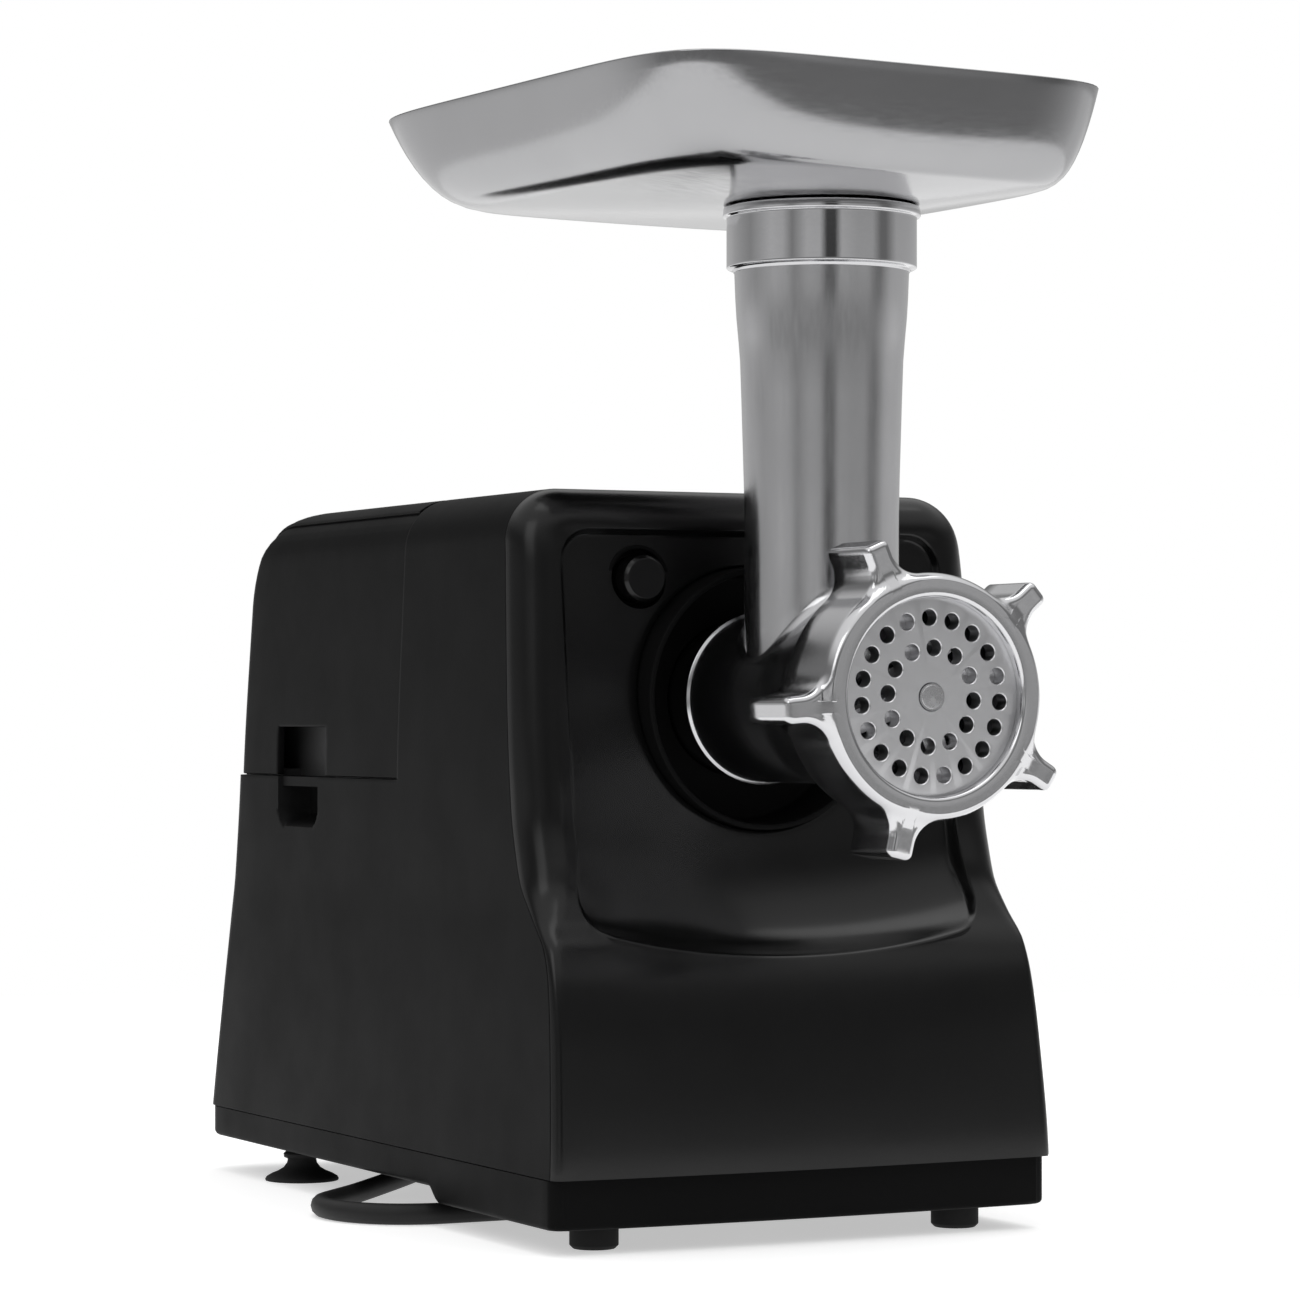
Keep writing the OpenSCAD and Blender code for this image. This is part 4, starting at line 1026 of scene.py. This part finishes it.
def make_head():
    outline = [(33.5, -73.5, 0.4), (33.5, -50.4, 0.3), (31.4, -50, 0.8)]
    outline += [(flare_radius(d), d) for d in range(-48, -12, 3)]
    outline += [(26, -8), (26, 10), (26, 27.4), (26.9, 28.0, 0.3), (26.9, 29.2, 0.5), (24.2, 29.5, 0.2),
                (24, 31, 0.2), (24, 53.6, 0.4), (20, 54, 0.3), (20, 31), (12.05, 31), (12.05, 24), (23.3, 24),
                (23.3, -52), (31.02, -61), (31.02, -73.5, 0.2)]
    barrel = Shape("head_casting_body", "cast_aluminium")
    barrel.lathe(rounded(outline, 3), steps=160)
    bore = Shape("bore_cutter", "cast_aluminium")
    bore.lathe([(0, AXIS_Z), (FEED_R, AXIS_Z), (FEED_R, 240), (0, 240)], "z", (0, TUBE_D), 64)
    casting = cut(barrel.object(), bore)
    steps = 160

    def surface(x, d):
        """Height of the barrel's upper surface at a point."""
        r = flare_radius(d) if d > -50 else 33.5
        return AXIS_Z + math.sqrt(max(r * r - x * x, 0.04))

    def hoop(r, z):
        return [(r * c, TUBE_D + r * s, z) for c, s in circle(steps)]

    upper = rounded([(25.3, 314.3, 0.4), (29.8, 314.4, 0.6), (30.0, 311.6, 0.5), (28.8, 311.3, 0.3),
                     (28.8, 310.5), (28.8, 297.0), (28.8, 296.0, 0.4), (27.0, 295.7, 0.6),
                     (26.5, 294, 1.5)], 3)
    upper += [(26.3, 291), (26.15, 287), (25.8, 281), (25.2, 274.5), (24.7, 268), (24.3, 256), (23.95, 244),
              (23.6, 232), (FOOT_R, 222)]
    rows = [hoop(r, z) for r, z in upper]
    # the tube's lower end, blended onto the barrel round its foot
    foot = []
    for c, s in circle(steps):
        blend = 0.5 + 6.5 * s * s
        out = FOOT_R + blend
        low = surface(out * c, TUBE_D + out * s) - 0.15
        column = [(FOOT_R, 211), (FOOT_R, 205)]
        top = surface(FOOT_R * c, TUBE_D + FOOT_R * s) + blend * 1.1
        for t in (0, 0.25, 0.5, 0.75):
            column.append((FOOT_R, mix(203, top, t)))
        for j in range(9):
            q = math.pi / 2 * j / 8
            r = FOOT_R + blend * (1 - math.cos(q))
            at = surface(r * c, TUBE_D + r * s)
            column.append((r, mix(top, at, math.sin(q)) if j < 8 else low))
        column.append((out, low - 1.2))
        for r in (FEED_R + 0.4, FEED_R):
            column.append((r, surface(r * c, TUBE_D + r * s) - 1.6))
        foot.append([(r * c, TUBE_D + r * s, z) for r, z in column])
    rows += [[column[k] for column in foot] for k in range(len(foot[0]))]
    rows += [hoop(r, z) for r, z in ((FEED_R, 211), (22.6, 292.3), (25.2, 292.6))]
    tube = Shape("feed_tube_body", "cast_aluminium")
    tube.grid(rows, around=True, close=True)
    lugs = Shape("head_locking_lugs", "cast_aluminium")
    for turn in (0, 180):
        arc = [math.radians(136.7 + turn) + math.radians(-18 + 36 * k / 8) for k in range(9)]
        rows = []
        for d in (49.4, 53.4):
            outer = [(27.3 * math.cos(a), d, AXIS_Z + 27.3 * math.sin(a)) for a in arc]
            inner = [(23.5 * math.cos(a), d, AXIS_Z + 23.5 * math.sin(a)) for a in reversed(arc)]
            rows.append(outer + inner)
        lugs.tube(rows)
    piece(casting, "cast_aluminium", "head", "head_casting")
    tube.piece("head")
    piece(soften(lugs.object(), 0.3), "cast_aluminium", "head")


def make_plate():
    disc = Shape("mincing_plate_disc", "ground_steel")
    outline = rounded([(0, -75.7), (31, -75.7, 0.4), (31, -70.2, 0.3), (0, -70.2)], 3)
    disc.lathe(outline, steps=128)
    holes = Shape("plate_cutter", "ground_steel")
    hole = [(0, -80), (2.7, -80), (2.7, -75.55), (2.42, -75.3), (2.4, -60), (0, -60)]
    for count, radius, first in ((19, 23, 91.3), (12, 14.3, 86)):
        for k in range(count):
            a = math.radians(first + 360 * k / count)
            x, z = radius * math.cos(a), AXIS_Z + radius * math.sin(a)
            holes.lathe(hole, "y", (x, z), 32)
    centre = [(0, -80), (4.3, -80), (4.3, -75.6), (4.0, -75.3), (4.0, -60), (0, -60)]
    holes.lathe(centre, steps=48)
    piece(cut(disc.object(), holes), "ground_steel", "head", "mincing_plate")
    pin = Shape("auger_pin_end", "steel")
    outline = [(0, -76.25), (0.5, -76.2), (2.6, -76.15), (3.3, -76.1), (3.8, -75.7), (3.93, -75.2),
               (3.93, -71), (0, -71)]
    pin.lathe(outline, steps=48)
    pin.piece("auger", slot="cast_aluminium")


RING_R, LUG_TIP, LUG_HALF, LUG_FILLET, TIP_R = 36, 48, 4, 9, 2.2
RING_FRONT, RING_STEP, RING_LUGS, FIRST_LUG = -79, 2.1, 5, 113


def ring_outline():
    """The ring's outline with its five lugs, as (x, z, normal x, normal z) round the axis."""
    centre_u = math.sqrt((RING_R + LUG_FILLET) ** 2 - (LUG_HALF + LUG_FILLET) ** 2)
    centre_v = LUG_HALF + LUG_FILLET
    touch = math.atan2(centre_v, centre_u)
    between = math.radians(180 / RING_LUGS)
    half = [(LUG_TIP, (LUG_HALF - TIP_R) * k / 3.5, 1.0, 0.0) for k in range(4)]
    for c, s in quarter(6):
        half.append((LUG_TIP - TIP_R + TIP_R * c, LUG_HALF - TIP_R + TIP_R * s, c, s))
    for c, s in circle(16, math.pi / 2 - touch, 1)[1:]:
        half.append((centre_u - LUG_FILLET * s, centre_v - LUG_FILLET * c, s, c))
    for k in range(1, 10):
        a = touch + (between - touch) * k / 10
        half.append((RING_R * math.cos(a), RING_R * math.sin(a), math.cos(a), math.sin(a)))
    one = [(u, -v, nu, -nv) for u, v, nu, nv in reversed(half[1:])] + half
    c, s = math.cos(between), math.sin(between)
    one.append((RING_R * c, RING_R * s, c, s))
    line = []
    for i in range(RING_LUGS):
        turn = math.radians(FIRST_LUG + 360 / RING_LUGS * i)
        c, s = math.cos(turn), math.sin(turn)
        line += [(u * c - v * s, u * s + v * c, nu * c - nv * s, nu * s + nv * c) for u, v, nu, nv in one]
    return line


def make_ring():
    line = ring_outline()
    edge = 2.0

    def face(r, gap):
        """Depth of the ring's front at a radius, rolled over near its outline."""
        base = RING_FRONT + RING_STEP * smooth_step(33.8, 37.2, r)
        roll = edge - math.sqrt(max(edge * edge - (edge - gap) ** 2, 0)) if gap < edge else 0
        return base + roll

    rows = []
    for d, inset in ((-53, 0.5), (-53.2, 0.12), (-53.6, 0), (-60, 0), (-68, 0), (-74, 0)):
        rows.append([(x - nx * inset, d, z - nz * inset) for x, z, nx, nz in line])
    for c, _ in quarter(6):
        gap = edge * (1 - c)
        row = []
        for x, z, nx, nz in line:
            px, pz = x - nx * gap, z - nz * gap
            row.append((px, face(math.hypot(px, pz), gap), pz))
        rows.append(row)
    for share in (0.15, 0.35, 0.55, 0.75, 0.9, 1.0):
        row = []
        for x, z, nx, nz in line:
            px, pz = x - nx * edge, z - nz * edge
            r = math.hypot(px, pz)
            to = mix(r, 33.2, share)
            row.append((px * to / r, face(to, edge), pz * to / r))
        rows.append(row)
    lip = ((32, -79), (30.4, -79), (29.9, -78.95), (29.5, -78.75), (29.2, -78.4), (28.9, -77.8),
           (28.8, -77.2), (28.8, -75.75), (33.58, -75.7), (33.58, -53.2), (33.9, -53))
    for r, d in lip:
        rows.append([(x * r / math.hypot(x, z), d, z * r / math.hypot(x, z)) for x, z, nx, nz in line])
    rows = [[(x, d, z + AXIS_Z) for x, d, z in row] for row in rows]
    ring = Shape("screw_ring_body", "polished_aluminium")
    ring.grid(rows, around=True, close=True)
    ring.piece("ring", "screw_ring", sharp=40)


# ---- the tray

TRAY_W, TRAY_L, TRAY_TURN = 163, 202, 4.9
TRAY_SHIFT, TRAY_BACK = -7.4, 37.8
HUB_R, HUB_Z, WALL_FOOT_Z, RIM_Z = 28, 314.6, 321.6, 349.3


def tray_point(a, share):
    """A point of the tray's underside: share 0 at its hub and 1 at its rim."""
    c, s = math.cos(a), math.sin(a)
    k = (c**6 + s**6) ** (-1 / 6)
    grow = share**0.92
    u = mix(HUB_R * c, TRAY_W / 2 * k * c + TRAY_SHIFT, grow)
    v = mix(HUB_R * s, TRAY_L / 2 * k * s + TRAY_BACK, grow)
    z = mix(HUB_Z, WALL_FOOT_Z, share) + (RIM_Z - WALL_FOOT_Z) * max(0, (share - 0.65) / 0.35) ** 2.7
    turn = math.radians(TRAY_TURN)
    return (u * math.cos(turn) - v * math.sin(turn), TUBE_D + u * math.sin(turn) + v * math.cos(turn), z)


def make_tray():
    steps = 192
    angles = [2 * math.pi * k / steps for k in range(steps)]
    shares = [0, 0.03, 0.08, 0.16, 0.28, 0.42, 0.54, 0.6, 0.64, 0.68, 0.72, 0.76, 0.8]
    shares += [0.83, 0.86, 0.89, 0.915, 0.94, 0.96, 0.98, 1]
    rows = [[tray_point(a, share) for a in angles] for share in shares]
    sheet = Shape("food_tray_dish", "polished_steel")
    sheet.grid(rows, around=True)
    tray = soften(thicken(sheet.object(), 1.2), 0.35, 3, 60)
    neck = Shape("tray_neck", "polished_steel")
    outline = [(25.1, 294.1, 0.3), (25.1, 314.0, 0.9), (28.6, 314.7, 0.4), (28.6, 315.8, 0.3),
               (24.4, 315.9, 0.8), (24.15, 294.1)]
    neck.lathe(rounded(outline, 3), "z", (0, TUBE_D), 96)
    piece(tray, "polished_steel", "tray", "food_tray")
    neck.piece("tray")


# ---- the CAD nodes that stay as they are

KEPT = {
    "steel": ("lid_hinge_pin", "base_screws", "release_latch", "gearbox_screws", "output_bearings",
              "output_shaft", "layshaft", "motor_bearings", "motor_shaft", "motor_pinion"),
    "dark_grey": ("storage_tub", "button_switches", "gearbox_case", "gearbox_cover", "cooling_fan",
                  "brush_holders", "carbon_brushes"),
    "board_green": ("circuit_board",),
    "gear_nylon": ("output_gear", "layshaft_gear", "auger_bushing"),
    "bronze": ("layshaft_bushes",),
    "zinc": ("motor_front_bracket", "motor_rear_bracket"),
    "rubber": ("motor_mounts",),
    "laminations": ("stator_core", "armature_core"),
    "copper": ("field_coils", "armature_windings", "commutator"),
    "cast_aluminium": ("auger",),
    "ground_steel": ("cutting_knife",),
}


def dress_kept_nodes():
    for material, nodes in KEPT.items():
        for node in nodes:
            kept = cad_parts[node]
            kept.data.materials.clear()
            kept.data.materials.append(MATERIALS[material])
            if node not in ("auger", "output_gear", "layshaft_gear", "motor_pinion"):
                soften(kept, 0.25, 2, 50)


make_camera()
cord = make_cord()
on_cord = make_cord_end()
relief = make_strain_relief()
make_world()
make_lights()
make_floor()
bpy.context.scene.view_settings.view_transform = "Standard"
for make in (make_housing, make_fascia, make_lid, make_top_panel, make_base, make_feet, make_neck_socket,
             make_release_button, make_controls, make_springs, make_head, make_plate, make_ring, make_tray,
             dress_kept_nodes):
    make()

bpy.context.view_layer.update()
